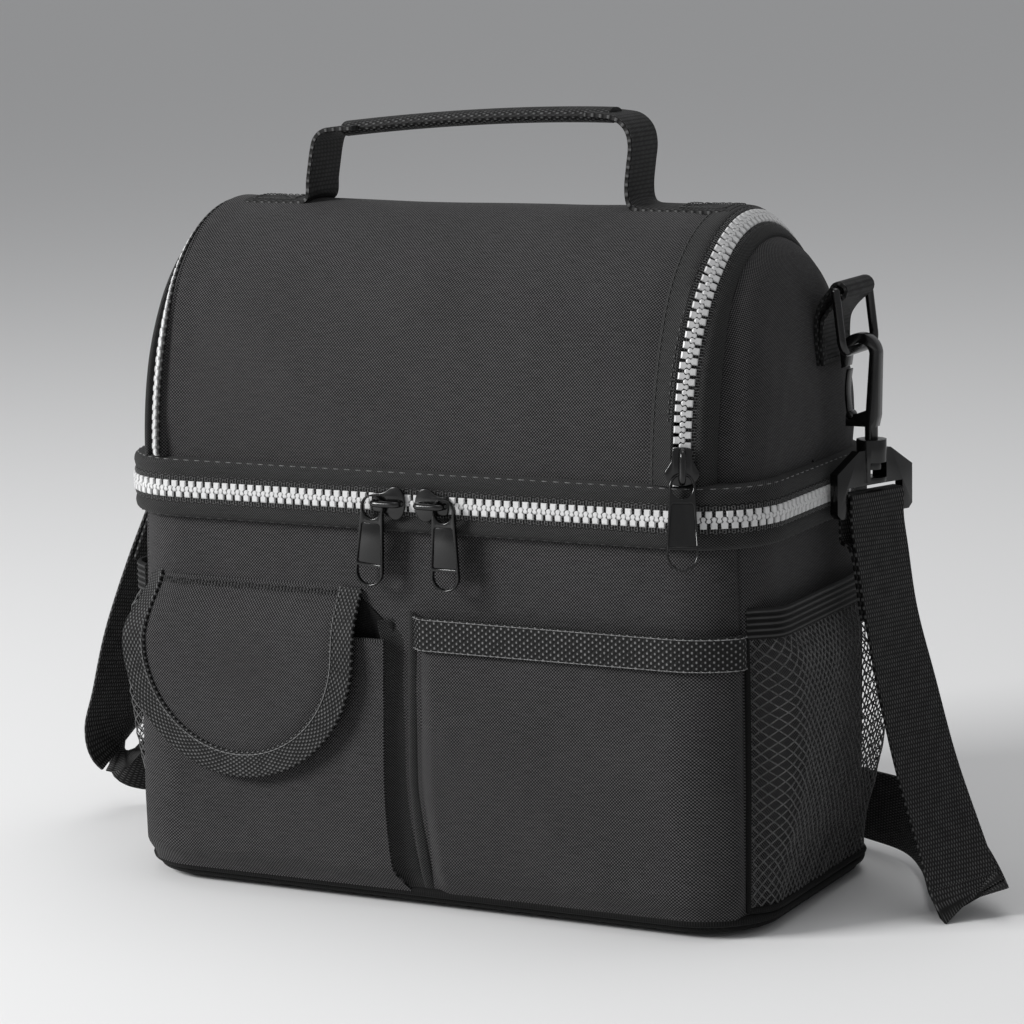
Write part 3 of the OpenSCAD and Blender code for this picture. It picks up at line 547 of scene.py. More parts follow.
@dataclass(frozen=True)
class OxfordCloth:
    """Coarse plain-weave polyester: matt, with pale flecks where the threads cross, painted into its colour as painted
    highlights of the threads catching the light.
    """

    name: str
    dark: str
    light: str
    # Real threads are about 0.5 mm apart; drawn coarser so that the weave shows in the render
    thread_mm: float = 0.65
    sheen: float = 0.04

    def material(self) -> bpy.types.Material:
        """Builds the finish on the piece's own UV map, in metres."""
        material, tree, shader = start_material(self.name)
        turn = 2 * math.pi / (2 * self.thread_mm * MM)
        place = add_node(tree, "ShaderNodeTexCoord").outputs["UV"]
        grid = add_node(tree, "ShaderNodeMapping", {"Vector": place, "Scale": (turn, turn, turn)})
        axes = add_node(tree, "ShaderNodeSeparateXYZ", {0: grid.outputs[0]})
        warp = add_node(tree, "ShaderNodeMath", {0: axes.outputs[0]}, operation="SINE")
        weft = add_node(tree, "ShaderNodeMath", {0: axes.outputs[1]}, operation="SINE")
        weave = add_node(tree, "ShaderNodeMath", {0: warp.outputs[0], 1: weft.outputs[0]}, operation="MULTIPLY")
        slub = 1 / (2.2 * MM)
        streak = add_node(tree, "ShaderNodeMapping", {"Vector": place, "Scale": (slub / 3, slub * 2, slub)})
        threads = add_node(tree, "ShaderNodeTexNoise", {"Vector": streak.outputs[0], "Scale": 1.0, "Detail": 2.0})
        fleck = add_node(tree, "ShaderNodeTexNoise", {"Vector": place, "Scale": 1 / (self.thread_mm * MM), "Detail": 1.0})
        wear = add_node(tree, "ShaderNodeTexNoise", {"Vector": place, "Scale": 1 / (45 * MM), "Detail": 3.0})
        lift = add_node(tree, "ShaderNodeMath", {0: threads.outputs[0], 1: 0.2, 2: 0.2}, operation="MULTIPLY_ADD")
        grain = add_node(tree, "ShaderNodeMath", {0: fleck.outputs[0], 1: 0.35, 2: lift.outputs[0]}, operation="MULTIPLY_ADD")
        worn = add_node(tree, "ShaderNodeMath", {0: wear.outputs[0], 1: 0.1, 2: grain.outputs[0]}, operation="MULTIPLY_ADD")
        # The weave term lightens the colour where the threads cross: painted highlights; the noises vary the threads'
        # own tone.
        tone = add_node(tree, "ShaderNodeMath", {0: weave.outputs[0], 1: 0.46, 2: worn.outputs[0]}, operation="MULTIPLY_ADD")
        ramp = add_node(tree, "ShaderNodeValToRGB", {0: tone.outputs[0]})
        ramp.color_ramp.elements[0].position = 0.4
        ramp.color_ramp.elements[0].color = linear(self.dark)
        ramp.color_ramp.elements[1].position = 0.9
        ramp.color_ramp.elements[1].color = linear(self.light)
        bump = add_node(tree, "ShaderNodeBump", {"Height": weave.outputs[0], "Strength": 0.5, "Distance": 0.12 * MM})
        tree.links.new(ramp.outputs[0], shader.inputs["Base Color"])
        tree.links.new(bump.outputs[0], shader.inputs["Normal"])
        shader.inputs["Roughness"].default_value = 0.86
        shader.inputs["Specular IOR Level"].default_value = 0.16
        shader.inputs["Sheen Weight"].default_value = self.sheen
        return material


@dataclass(frozen=True)
class RibbedWebbing:
    """Woven polypropylene webbing: staggered pale floats standing on a black ground."""

    name: str
    ground: str
    yarn: str
    across_mm: float
    along_mm: float
    # An odd power narrows the floats along the strip
    pinch: float = 1.0

    def material(self) -> bpy.types.Material:
        """Builds the finish on the strip's UV map: its width is U and its length is V, in metres."""
        material, tree, shader = start_material(self.name)
        place = add_node(tree, "ShaderNodeTexCoord").outputs["UV"]
        scale = (math.pi / (self.across_mm * MM), math.pi / (self.along_mm * MM), 1.0)
        grid = add_node(tree, "ShaderNodeMapping", {"Vector": place, "Scale": scale})
        axes = add_node(tree, "ShaderNodeSeparateXYZ", {0: grid.outputs[0]})
        wide = add_node(tree, "ShaderNodeMath", {0: axes.outputs[0]}, operation="COSINE")
        long = add_node(tree, "ShaderNodeMath", {0: axes.outputs[1]}, operation="COSINE")
        thin = add_node(tree, "ShaderNodeMath", {0: long.outputs[0], 1: self.pinch}, operation="POWER")
        floats = add_node(tree, "ShaderNodeMath", {0: wide.outputs[0], 1: thin.outputs[0]}, operation="MULTIPLY")
        wear = add_node(tree, "ShaderNodeTexNoise", {"Vector": place, "Scale": 1 / (5 * MM), "Detail": 4.0})
        worn = add_node(tree, "ShaderNodeMath", {0: wear.outputs[0], 1: 0.9, 2: -0.45}, operation="MULTIPLY_ADD")
        tone = add_node(tree, "ShaderNodeMath", {0: floats.outputs[0], 1: worn.outputs[0]}, operation="ADD")
        ramp = add_node(tree, "ShaderNodeValToRGB", {0: tone.outputs[0]})
        ramp.color_ramp.elements[0].position = 0.2
        ramp.color_ramp.elements[0].color = linear(self.ground)
        ramp.color_ramp.elements[1].position = 0.85
        ramp.color_ramp.elements[1].color = linear(self.yarn)
        bump = add_node(tree, "ShaderNodeBump", {"Height": floats.outputs[0], "Strength": 0.7, "Distance": 0.25 * MM})
        tree.links.new(ramp.outputs[0], shader.inputs["Base Color"])
        tree.links.new(bump.outputs[0], shader.inputs["Normal"])
        shader.inputs["Roughness"].default_value = 0.65
        shader.inputs["Specular IOR Level"].default_value = 0.25
        return material


@dataclass(frozen=True)
class Moulded:
    """Injection-moulded plastic: an even colour with a faint flow pattern and a slightly uneven gloss."""

    name: str
    colour: str
    flow: str
    rough: float
    rough_far: float
    grain_mm: float = 3.0

    def material(self) -> bpy.types.Material:
        """Builds the finish on object coordinates."""
        material, tree, shader = start_material(self.name)
        place = add_node(tree, "ShaderNodeTexCoord").outputs["Object"]
        grain = add_node(tree, "ShaderNodeTexNoise", {"Vector": place, "Scale": 1 / (self.grain_mm * MM), "Detail": 4.0})
        tint = add_node(tree, "ShaderNodeValToRGB", {0: grain.outputs[0]})
        tint.color_ramp.elements[0].color = linear(self.colour)
        tint.color_ramp.elements[1].color = linear(self.flow)
        gloss = add_node(tree, "ShaderNodeMapRange", {0: grain.outputs[0], 3: self.rough, 4: self.rough_far})
        bump = add_node(tree, "ShaderNodeBump", {"Height": grain.outputs[0], "Strength": 0.15, "Distance": 0.08 * MM})
        tree.links.new(tint.outputs[0], shader.inputs["Base Color"])
        tree.links.new(gloss.outputs[0], shader.inputs["Roughness"])
        tree.links.new(bump.outputs[0], shader.inputs["Normal"])
        shader.inputs["IOR"].default_value = 1.5
        return material


@dataclass(frozen=True)
class FoilLining:
    """Aluminised film on thin foam: bright, with soft creases from handling."""

    name: str = "aluminised_film"
    colour: str = "#c9cbcd"
    crease_mm: float = 14.0

    def material(self) -> bpy.types.Material:
        """Builds the finish on object coordinates."""
        material, tree, shader = start_material(self.name)
        place = add_node(tree, "ShaderNodeTexCoord").outputs["Object"]
        folds = add_node(tree, "ShaderNodeTexNoise", {"Vector": place, "Scale": 1 / (self.crease_mm * MM), "Detail": 6.0})
        tint = add_node(tree, "ShaderNodeValToRGB", {0: folds.outputs[0]})
        tint.color_ramp.elements[0].color = linear("#a9abae")
        tint.color_ramp.elements[1].color = linear(self.colour)
        bump = add_node(tree, "ShaderNodeBump", {"Height": folds.outputs[0], "Strength": 0.6, "Distance": 1.2 * MM})
        tree.links.new(tint.outputs[0], shader.inputs["Base Color"])
        tree.links.new(bump.outputs[0], shader.inputs["Normal"])
        shader.inputs["Metallic"].default_value = 0.85
        shader.inputs["Roughness"].default_value = 0.34
        return material


@dataclass(frozen=True)
class SpunYarn:
    """Thread, net cord or pile: soft, matt and fuzzy, with a twist that breaks up the light."""

    name: str
    dark: str
    light: str
    twist_mm: float = 0.8

    def material(self) -> bpy.types.Material:
        """Builds the finish on object coordinates."""
        material, tree, shader = start_material(self.name)
        place = add_node(tree, "ShaderNodeTexCoord").outputs["Object"]
        fuzz = add_node(tree, "ShaderNodeTexNoise", {"Vector": place, "Scale": 1 / (self.twist_mm * MM), "Detail": 3.0})
        tint = add_node(tree, "ShaderNodeValToRGB", {0: fuzz.outputs[0]})
        tint.color_ramp.elements[0].position = 0.3
        tint.color_ramp.elements[0].color = linear(self.dark)
        tint.color_ramp.elements[1].position = 0.75
        tint.color_ramp.elements[1].color = linear(self.light)
        bump = add_node(tree, "ShaderNodeBump", {"Height": fuzz.outputs[0], "Strength": 0.7, "Distance": 0.2 * MM})
        tree.links.new(tint.outputs[0], shader.inputs["Base Color"])
        tree.links.new(bump.outputs[0], shader.inputs["Normal"])
        shader.inputs["Roughness"].default_value = 0.75
        shader.inputs["Sheen Weight"].default_value = 0.15
        return material


@dataclass
class Finishes:
    """Every finish on the bag, built once."""

    cloth: bpy.types.Material = field(init=False)
    facing: bpy.types.Material = field(init=False)
    nylon: bpy.types.Material = field(init=False)
    webbing: bpy.types.Material = field(init=False)
    ladder: bpy.types.Material = field(init=False)
    dashes: bpy.types.Material = field(init=False)
    elastic: bpy.types.Material = field(init=False)
    teeth: bpy.types.Material = field(init=False)
    gloss: bpy.types.Material = field(init=False)
    foil: bpy.types.Material = field(init=False)
    net: bpy.types.Material = field(init=False)
    thread: bpy.types.Material = field(init=False)
    pale_thread: bpy.types.Material = field(init=False)
    binder: bpy.types.Material = field(init=False)
    pile: bpy.types.Material = field(init=False)

    def __post_init__(self) -> None:
        """Builds the materials."""
        self.cloth = OxfordCloth("oxford_polyester", "#020202", "#555455").material()
        self.facing = OxfordCloth("dense_facing_cloth", "#020202", "#484848", thread_mm=0.55).material()
        self.nylon = OxfordCloth("coated_nylon", "#060606", "#1c1c1c", thread_mm=0.5, sheen=0.02).material()
        self.webbing = RibbedWebbing("ribbed_polypropylene_webbing", "#060606", "#4c4c4c", 0.6, 1.75).material()
        self.ladder = RibbedWebbing("ladder_weave_trim", "#040404", "#5c5c5c", 0.85, 1.4).material()
        self.dashes = RibbedWebbing("dashed_pocket_webbing", "#040404", "#707070", 1.25, 1.65, 3.0).material()
        # Ribs without floats: the second pitch is longer than any elastic. The pale stripes sit on the ribs' crests and
        # the dark ones in their grooves: painted highlights and painted shade.
        self.elastic = RibbedWebbing("ribbed_elastic", "#060606", "#333333", 1.2, 2000.0).material()
        self.teeth = Moulded("moulded_acetal_teeth", "#b9b9b9", "#d2d2d2", 0.3, 0.48).material()
        self.gloss = Moulded("gloss_black_nylon", "#050505", "#0a0a0a", 0.14, 0.28).material()
        self.foil = FoilLining().material()
        # The net's cord is black: the paler end of its colour stands partly for the light caught by the cord, painted
        # highlights.
        self.net = SpunYarn("knitted_net_cord", "#1a1a1a", "#5c5c5c").material()
        self.thread = SpunYarn("black_polyester_thread", "#141414", "#3c3c3c", 0.5).material()
        # A paler grey thread, used on the seam above the zip, round the flap's edging and along the slip pocket's
        # mouth.
        self.pale_thread = SpunYarn("worn_polyester_thread", "#3a3a3a", "#8a8a8a", 0.5).material()
        self.binder = SpunYarn("binding_thread", "#2c2c2c", "#6c6c6c", 0.5).material()
        self.pile = SpunYarn("hook_and_loop_pile", "#0c0c0c", "#2a2a2a", 0.7).material()


# Geometry Nodes trees


def socket_id(tree: bpy.types.NodeTree, name: str) -> str:
    """The identifier of a tree's named input."""
    return next(i.identifier for i in tree.interface.items_tree if i.name == name and i.in_out == "INPUT")


def new_tree(name: str, inputs: Sequence[tuple[str, str]]) -> tuple[bpy.types.NodeTree, bpy.types.Node]:
    """A Geometry Nodes tree with a geometry input and the named inputs, as tree and input node."""
    tree = bpy.data.node_groups.new(name, "GeometryNodeTree")
    tree.interface.new_socket("Geometry", in_out="INPUT", socket_type="NodeSocketGeometry")
    for label, kind in inputs:
        tree.interface.new_socket(label, in_out="INPUT", socket_type=kind)
    tree.interface.new_socket("Geometry", in_out="OUTPUT", socket_type="NodeSocketGeometry")
    return tree, add_node(tree, "NodeGroupInput")


def close_tree(tree: bpy.types.NodeTree, geometry: bpy.types.NodeSocket, finish: bpy.types.NodeSocket) -> None:
    """Ends a tree in Realize Instances and Set Material."""
    real = add_node(tree, "GeometryNodeRealizeInstances", {"Geometry": geometry})
    painted = add_node(tree, "GeometryNodeSetMaterial", {"Geometry": real.outputs[0], "Material": finish})
    add_node(tree, "NodeGroupOutput", {0: painted.outputs[0]})


def stamp_tree() -> bpy.types.NodeTree:
    """A tree that sets a copy of a template on every point, turned by the point's own angles."""
    tree, entry = new_tree(
        "stamp_along_seam",
        [("Template", "NodeSocketObject"), ("Size", "NodeSocketFloat"), ("Finish", "NodeSocketMaterial")],
    )
    shape = add_node(tree, "GeometryNodeObjectInfo", {"Object": entry.outputs["Template"], "As Instance": True})
    angles = add_node(tree, "GeometryNodeInputNamedAttribute", {"Name": "turn"}, data_type="FLOAT_VECTOR")
    turn = add_node(tree, "FunctionNodeEulerToRotation", {0: angles.outputs["Attribute"]})
    copies = add_node(
        tree,
        "GeometryNodeInstanceOnPoints",
        {
            "Points": entry.outputs["Geometry"],
            "Instance": shape.outputs["Geometry"],
            "Rotation": turn.outputs[0],
            "Scale": entry.outputs["Size"],
        },
    )
    close_tree(tree, copies.outputs[0], entry.outputs["Finish"])
    return tree


def net_tree() -> bpy.types.NodeTree:
    """A tree that turns the edges of a mesh into round cord."""
    tree, entry = new_tree("knot_net_from_edges", [("Cord", "NodeSocketFloat"), ("Finish", "NodeSocketMaterial")])
    lines = add_node(tree, "GeometryNodeMeshToCurve", {"Mesh": entry.outputs["Geometry"]})
    ring = add_node(tree, "GeometryNodeCurvePrimitiveCircle", {"Resolution": 5, "Radius": entry.outputs["Cord"]})
    cords = add_node(tree, "GeometryNodeCurveToMesh", {"Curve": lines.outputs[0], "Profile Curve": ring.outputs[0]})
    close_tree(tree, cords.outputs[0], entry.outputs["Finish"])
    return tree


@dataclass
class Stamper:
    """Sets small repeated shapes along seams and zips."""

    tree: bpy.types.NodeTree = field(default_factory=stamp_tree)

    def run(self, name: str, template: bpy.types.Object, places: np.ndarray, frames: np.ndarray, finish: bpy.types.Material) -> bpy.types.Object:
        """Stamps a template.

        Args:
            name: the new object's name.
            template: the shape, in its own frame.
            places: points in millimetres.
            frames: for each point, the directions of the template's X, Y and Z.
            finish: the material of the copies.

        Returns:
            One plain mesh object with every copy.
        """
        mesh = bpy.data.meshes.new(name)
        mesh.from_pydata((places * MM).tolist(), [], [])
        turns = [list(Matrix(f.tolist()).transposed().to_euler()) for f in frames]
        mesh.attributes.new("turn", "FLOAT_VECTOR", "POINT").data.foreach_set("vector", np.array(turns).ravel())
        obj = link(name, mesh)
        nodes = obj.modifiers.new("stamp", "NODES")
        nodes.node_group = self.tree
        nodes[socket_id(self.tree, "Template")] = template
        nodes[socket_id(self.tree, "Size")] = 1.0
        nodes[socket_id(self.tree, "Finish")] = finish
        return bake(obj)


def stitch_template() -> bpy.types.Object:
    """One lockstitch: a short rounded bar along X that dips at both ends."""
    path = np.array([(-1.15, 0, -0.15), (-0.8, 0, 0.12), (0, 0, 0.2), (0.8, 0, 0.12), (1.15, 0, -0.15)])
    return tube("stitch", path, 0.2, 5)


def hide(obj: bpy.types.Object) -> None:
    """Takes a template out of the scene once its copies are made."""
    bpy.data.objects.remove(obj)


@dataclass
class Kit:
    """What every sub-assembly needs: the shape, the finishes and the stampers."""

    shape: BagShape
    finish: Finishes
    stamper: Stamper
    stitch: bpy.types.Object

    def stitches(self, name: str, path: np.ndarray, out: np.ndarray, body: str, pitch: float = 3.2) -> None:
        """Sews a row of black stitches on a body.

        Args:
            name: the object's name.
            path: points along the seam in millimetres.
            out: the outward direction at each point.
            body: the CAD body that the seam is on.
            pitch: distance from one stitch to the next.
        """
        dress(self.sew(name, path, out, self.finish.thread, pitch), self.finish.thread, body)

    def sew(self, name: str, path: np.ndarray, out: np.ndarray, thread: bpy.types.Material, pitch: float = 3.2) -> bpy.types.Object:
        """A row of stitches in a thread, not yet on a body."""
        run = lengths(path[:, None], 0, False)
        at = np.arange(pitch / 2, run[-1], pitch)
        place = np.stack([np.interp(at, run, path[:, k]) for k in range(3)], 1)
        face = unit(np.stack([np.interp(at, run, out[:, k]) for k in range(3)], 1))
        ahead = unit(np.stack([np.interp(at, run, np.gradient(path[:, k], run)) for k in range(3)], 1))
        side = unit(np.cross(face, ahead))
        frames = np.stack([np.cross(side, face), side, face], 1)
        return self.stamper.run(name, self.stitch, place, frames, thread)


# Body


@dataclass
class LowerBox:
    """The insulated tub: woven wall, base, piped bottom seam, foil lining and the padded band below the zip."""

    kit: Kit
    bulge: float = 1.6
    wall_t: float = 1.3
    pipe_r: float = 1.9
    columns: int = 264
    seam_s: float = 136.0
    seam_depth: float = 1.1

    def build(self) -> None:
        """Makes every piece of the tub."""
        self.wall()
        self.base()
        self.piping()
        self.lining()
        band(self.kit, "lower_band_cloth", "lower", "lower_band", False)

    def wall(self) -> None:
        """The woven wall, slightly full between its seams and faintly wrinkled."""
        shape = self.kit.shape
        even = np.arange(self.columns) * shape.around / self.columns
        seams = [self.seam_s, shape.around - self.seam_s]
        near = [q + d for q in seams for d in (-2.2, -1.3, -0.7, 0.0, 0.7, 1.3, 2.2)]
        s = np.sort(np.concatenate([even[[min(abs(e - q) for q in seams) > 3.2 for e in even]], near]))
        z = np.linspace(shape.base_t + 0.3, shape.wall_top + 0.3, 50)
        t = (z - z[0]) / (z[-1] - z[0])
        flat = wrap(shape, s, z, np.zeros((len(s), len(z))))
        out = self.bulge * np.sin(math.pi * t[None, :]) ** 0.6 + 0.6 * ripple(flat, 55, 3.1) + 0.25 * ripple(flat, 19, 7.7)
        out = out * np.clip(np.minimum(t, 1 - t) * 12, 0, 1)[None, :]
        for seam in seams:
            out = out - self.seam_depth * np.exp(-(((s - seam) / 0.8) ** 2))[:, None]
        obj = sheet("lower_wall_cloth", wrap(shape, s, z, out), wrap_u=True, faces_to=(0, 0, 70))
        dress(thicken(obj, self.wall_t), self.kit.finish.cloth, "lower", ["lower_shell", "lower_foam"])

    def base(self) -> None:
        """The stiff base with its edge turned up."""
        shape = self.kit.shape
        s = np.arange(self.columns) * shape.around / self.columns
        rim = [(0.3, 3.6), (0.2, 2.0), (-0.6, 0.7), (-2.0, 0.2)]
        rings = [np.column_stack([shape.plan(s, o)[:, :2], np.full(len(s), z)]) for o, z in rim]
        last = rings[-1]
        rings += [last * (k, k, 1.0) + (0, 0, 0.5 * (1 - k)) for k in (0.9, 0.7, 0.45, 0.2, 0.0)]
        grid = np.stack(rings, 1)
        obj = sheet("base_cloth", grid, wrap_u=True, uv=np.concatenate([grid, grid[:1]])[:, :, :2], faces_to=(0, 0, 60))
        mend(obj, merge=0.01)
        dress(thicken(obj, 1.2), self.kit.finish.nylon, "lower", ["base_panel"])

    def piping(self) -> None:
        """The corded seam round the bottom edge."""
        shape = self.kit.shape
        s = np.arange(self.columns) * shape.around / self.columns
        path = np.column_stack([shape.plan(s, 0.9)[:, :2], np.full(len(s), 4.9)])
        obj = tube("base_piping_cord", path, self.pipe_r, 10, closed=True)
        dress(obj, self.kit.finish.nylon, "lower", ["base_piping"])

    def lining(self) -> None:
        """The foil lining, wall and floor in one."""
        shape = self.kit.shape
        pan(self.kit, "lower_lining_foil", "lower", ["lower_liner"], 8.4, shape.low_band_top - 0.4)


def wrap(shape: BagShape, s: np.ndarray, z: np.ndarray, out: np.ndarray) -> np.ndarray:
    """Grid of points round the body: distances s (for each height, or for all), heights z, and standing-out."""
    table = np.broadcast_to(s if s.ndim == 2 else s[:, None], out.shape)
    rows = [np.column_stack([shape.plan(table[:, j], out[:, j])[:, :2], np.full(len(s), z[j])]) for j in range(len(z))]
    return np.stack(rows, 1)


def pan(kit: Kit, name: str, body: str, replaced: Sequence[str], floor: float, rim: float) -> bpy.types.Object:
    """A foil tray inside the body, with its floor at one height and its rim at another."""
    shape = kit.shape
    s = np.arange(200) * shape.around / 200
    walls = [(shape.lining_out, z) for z in np.linspace(rim, floor + 2, max(3, int((rim - floor) / 5)))]
    rings = [np.column_stack([shape.plan(s, o)[:, :2], np.full(len(s), z)]) for o, z in walls + [(shape.lining_out - 1.5, floor)]]
    last = rings[-1]
    rings += [last * (k, k, 1.0) for k in (0.92, 0.8, 0.6, 0.4, 0.2, 0.0)]
    grid = np.stack(rings, 1)
    grid[:, 1:-1, :2] *= 1 - 0.003 * np.abs(ripple(grid[:, 1:-1], 22, 5.2))[:, :, None]
    obj = sheet(name, grid, wrap_u=True, faces_to=None)
    mend(obj, merge=0.01)
    return dress(thicken(obj, 0.5), kit.finish.foil, body, replaced)


def band(kit: Kit, name: str, body: str, node: str, above: bool) -> bpy.types.Object:
    """A padded band beside the front zip: a soft roll that creases where it meets the wall or the cover."""
    shape = kit.shape
    zip_edge = shape.up_band_z if above else shape.low_band_top
    seam = shape.seam_z if above else shape.wall_top
    way = 1 if above else -1
    tall = abs(seam - zip_edge)
    profile = [(-6.2, -0.2), (3.0, -1.6), (4.0, -1.2), (4.6, 0.6), (4.7, 0.45 * tall), (4.1, 0.8 * tall), (2.4, tall), (0.2, tall + 0.5), (-6.2, tall)]
    section = spline([(o, zip_edge + way * h) for o, h in profile], 0.9, closed=True)
    s = np.arange(264) * shape.around / 264
    grid = np.stack([np.column_stack([shape.plan(s, o)[:, :2], np.full(len(s), z)]) for o, z in section], 1)
    puff = 1 + 0.0012 * ripple(grid, 38, 2.4)
    grid[:, :, :2] *= puff[:, :, None]
    obj = sheet(name, grid, wrap_u=True, wrap_v=True)
    mend(obj)
    dress(obj, kit.finish.facing, body, [node])
    crease = np.column_stack([shape.plan(s, 3.05)[:, :2], np.full(len(s), seam - way * 0.3)])
    out = np.column_stack([shape.plan(s)[:, 2:], np.full(len(s), 0.3 * way)])
    thread = kit.finish.pale_thread if above else kit.finish.thread
    seam_row = kit.sew(f"{name}_stitches", crease, out, thread, 5.0)
    dress(seam_row, thread, body)
    return obj


def smooth(t: np.ndarray) -> np.ndarray:
    """Eased steps from 0 to 1."""
    t = np.clip(t, 0, 1)
    return t * t * (3 - 2 * t)


def at_front(s: np.ndarray, z: np.ndarray, out: np.ndarray, shape: BagShape) -> np.ndarray:
    """Path of points round the body, one for each distance, height and standing-out."""
    return np.column_stack([shape.plan(s, out)[:, :2], np.broadcast_to(z, s.shape)])


def out_at(shape: BagShape, s: np.ndarray) -> np.ndarray:
    """Outward directions round the body."""
    return np.column_stack([shape.plan(s)[:, 2:], np.zeros(len(s))])


def strip(kit: Kit, name: str, s: np.ndarray, z: float, out: float, tall: float, thick: float) -> bpy.types.Object:
    """Flat webbing laid round the body, centred on a height and a standing-out."""
    path = at_front(s, np.full(len(s), z), np.full(len(s), out), kit.shape)
    up = np.tile((0.0, 0.0, 1.0), (len(s), 1))
    return sweep(name, path, up, strap_section(tall, thick))


def along_z(points: Sequence[tuple[float, float]], z: np.ndarray) -> np.ndarray:
    """Values at heights z on a smooth curve through pairs of a height and a value."""
    rows = spline([(h, v, 0) for h, v in points], 1.0)
    return np.interp(z, rows[:, 0], rows[:, 1])


Edge = tuple[tuple[float, float], ...]
# Edges of the front pockets as pairs of a height and a distance from the middle of the front
POUCH_EDGE: Edge = ((5, -5.5), (9, -8.6), (16, -12), (34, -13.9), (60, -14.6), (108, -13), (118, -12.6))
SEAM_LEFT: Edge = ((5, -0.8), (12, -2.2), (25, -4.4), (43, -6), (60, -6.6), (119, -5.4))
SEAM_RIGHT: Edge = ((5, 3.2), (12, 2.3), (25, 0.7), (38, -1.2), (56, -2.6), (119, -1.3))


@dataclass
class Pocket:
    """A cloth pocket on the front: a panel whose sides and bottom pull in to the wall."""

    kit: Kit
    name: str
    start: Edge
    stop: Edge
    top: float
    out: float
    pull_in_start: float
    pull_in_stop: float
    replaced: str
    foot: float = 5.2
    cloth_t: float = 1.2

    def panel(self) -> None:
        """The panel, a little loose between its seams."""
        shape = self.kit.shape
        z = np.linspace(self.foot, self.top, 56)
        first, last = along_z(self.start, z), along_z(self.stop, z)
        s = first + (last - first) * np.linspace(0, 1, 110)[:, None]
        rise = 0.35 + 0.65 * smooth((z - self.foot) / 10)
        left = smooth((s - first) / self.pull_in_start) if self.pull_in_start else np.ones(s.shape)
        right = smooth((last - s) / self.pull_in_stop) if self.pull_in_stop else np.ones(s.shape)
        full = np.minimum(left, right) * rise
        flat = wrap(shape, s, z, np.zeros(full.shape))
        slack = 0.7 * ripple(flat, 46, 1.7) + 0.3 * ripple(flat, 17, 9.3) - 0.75
        out = 0.5 + (self.out - 0.5) * full + slack * full**2
        grid = wrap(shape, s, z, np.minimum(out, self.out))
        uv = np.stack([s, np.broadcast_to(z, s.shape)], 2)
        obj = sheet(self.name, grid, uv=uv, faces_to=(0, 0, 60))
        dress(thicken(obj, self.cloth_t), self.kit.finish.cloth, "lower", [self.replaced])


@dataclass
class FrontPouch:
    """The bellows pouch at the front left, with a slack mouth, a folded side in the darker facing cloth and a closure
    tape.
    """

    kit: Kit
    top: float = 108.0
    out: float = 8.3
    left_s: float = -136.0
    side_top: float = 115.5

    def build(self) -> None:
        """Makes the pouch's pieces."""
        left = ((0.0, self.left_s), (130.0, self.left_s))
        Pocket(self.kit, "pouch_cloth", left, POUCH_EDGE, self.top, self.out, 7, 0, "pouch_panel").panel()
        self.mouth()
        self.lining()
        self.side()
        closure(self.kit, "pouch_loop_pile", 8.95, 0.75, "lower", "pouch_loop_tape")

    def mouth(self) -> None:
        """The turned edge along the mouth."""
        s = np.linspace(self.left_s + 8, along_z(POUCH_EDGE, np.array([self.top]))[0], 90)
        path = at_front(s, np.full(len(s), self.top), np.full(len(s), self.out - 1.2), self.kit.shape)
        dress(tube("pouch_mouth_edge", path, 0.9, 8), self.kit.finish.facing, "lower")

    def lining(self) -> None:
        """The black nylon sheet on the wall behind the mouth, which paints the shade inside the open pouch; its top
        slopes from the flap's corner to the folded side.
        """
        x = np.linspace(-70, -11.5, 40)
        top = np.interp(x, (-27, -15.5, -7), (125.0, 115.5, 114.0))
        z = 60 + (top - 60)[:, None] * np.linspace(0, 1, 30)
        grid = np.stack([np.broadcast_to(x[:, None], z.shape), np.full(z.shape, -self.kit.shape.half_d - 2.4), z], 2)
        obj = sheet("pouch_lining_nylon", grid, faces_to=(-40, 0, 90))
        # Painted shade: a dark sheet where the wall behind the pouch's mouth is only in shade.
        dress(thicken(obj, 0.5), self.kit.finish.nylon, "lower")

    def side(self) -> None:
        """The bellows side: the darker facing cloth, partly painted shade of the pouch's cast shadow, from the pouch's
        fold back to the wall, its top corner turned over.
        """
        shape = self.kit.shape
        t = np.linspace(0, 1, 16)[:, None]
        rise = np.linspace(0, 1, 60)
        z = 6.5 + (self.side_top + 2 * t - 6.5) * rise
        lift = smooth((z - self.top + 2) / 9)
        first = along_z(POUCH_EDGE, z.ravel()).reshape(z.shape) - 0.8 - 3.4 * lift
        last = along_z(SEAM_LEFT, z.ravel()).reshape(z.shape)
        edge = self.out - 1.3 - 2.2 * lift
        foot = 0.4 + 0.6 * smooth((z - 6.5) / 12)
        x = first + (last - first) * t
        out = (0.7 + (edge - 0.7) * (1 - t) ** 0.8 - 1.6 * np.sin(math.pi * t)) * foot
        grid = np.stack([x, -shape.half_d - np.maximum(out, 0.5), z], 2)
        obj = sheet("pouch_side_nylon", grid, faces_to=(-40, -60, 60))
        # The facing cloth is darker than the pouch's own cloth: partly painted shade where the pouch casts its shadow.
        dress(thicken(obj, 0.6), self.kit.finish.facing, "lower", ["pouch_gusset"])


def closure(kit: Kit, name: str, out: float, thick: float, body: str, node: str) -> None:
    """One half of the hook-and-loop closure, a soft-edged rectangle parallel to the front."""
    path = np.column_stack([np.full(16, -79.0), np.full(16, -kit.shape.half_d - out), np.linspace(66.2, 79.8, 16)])
    obj = sweep(name, path, np.tile((1.0, 0, 0), (16, 1)), strap_section(39.6, thick))
    dress(obj, kit.finish.pile, body, [node])


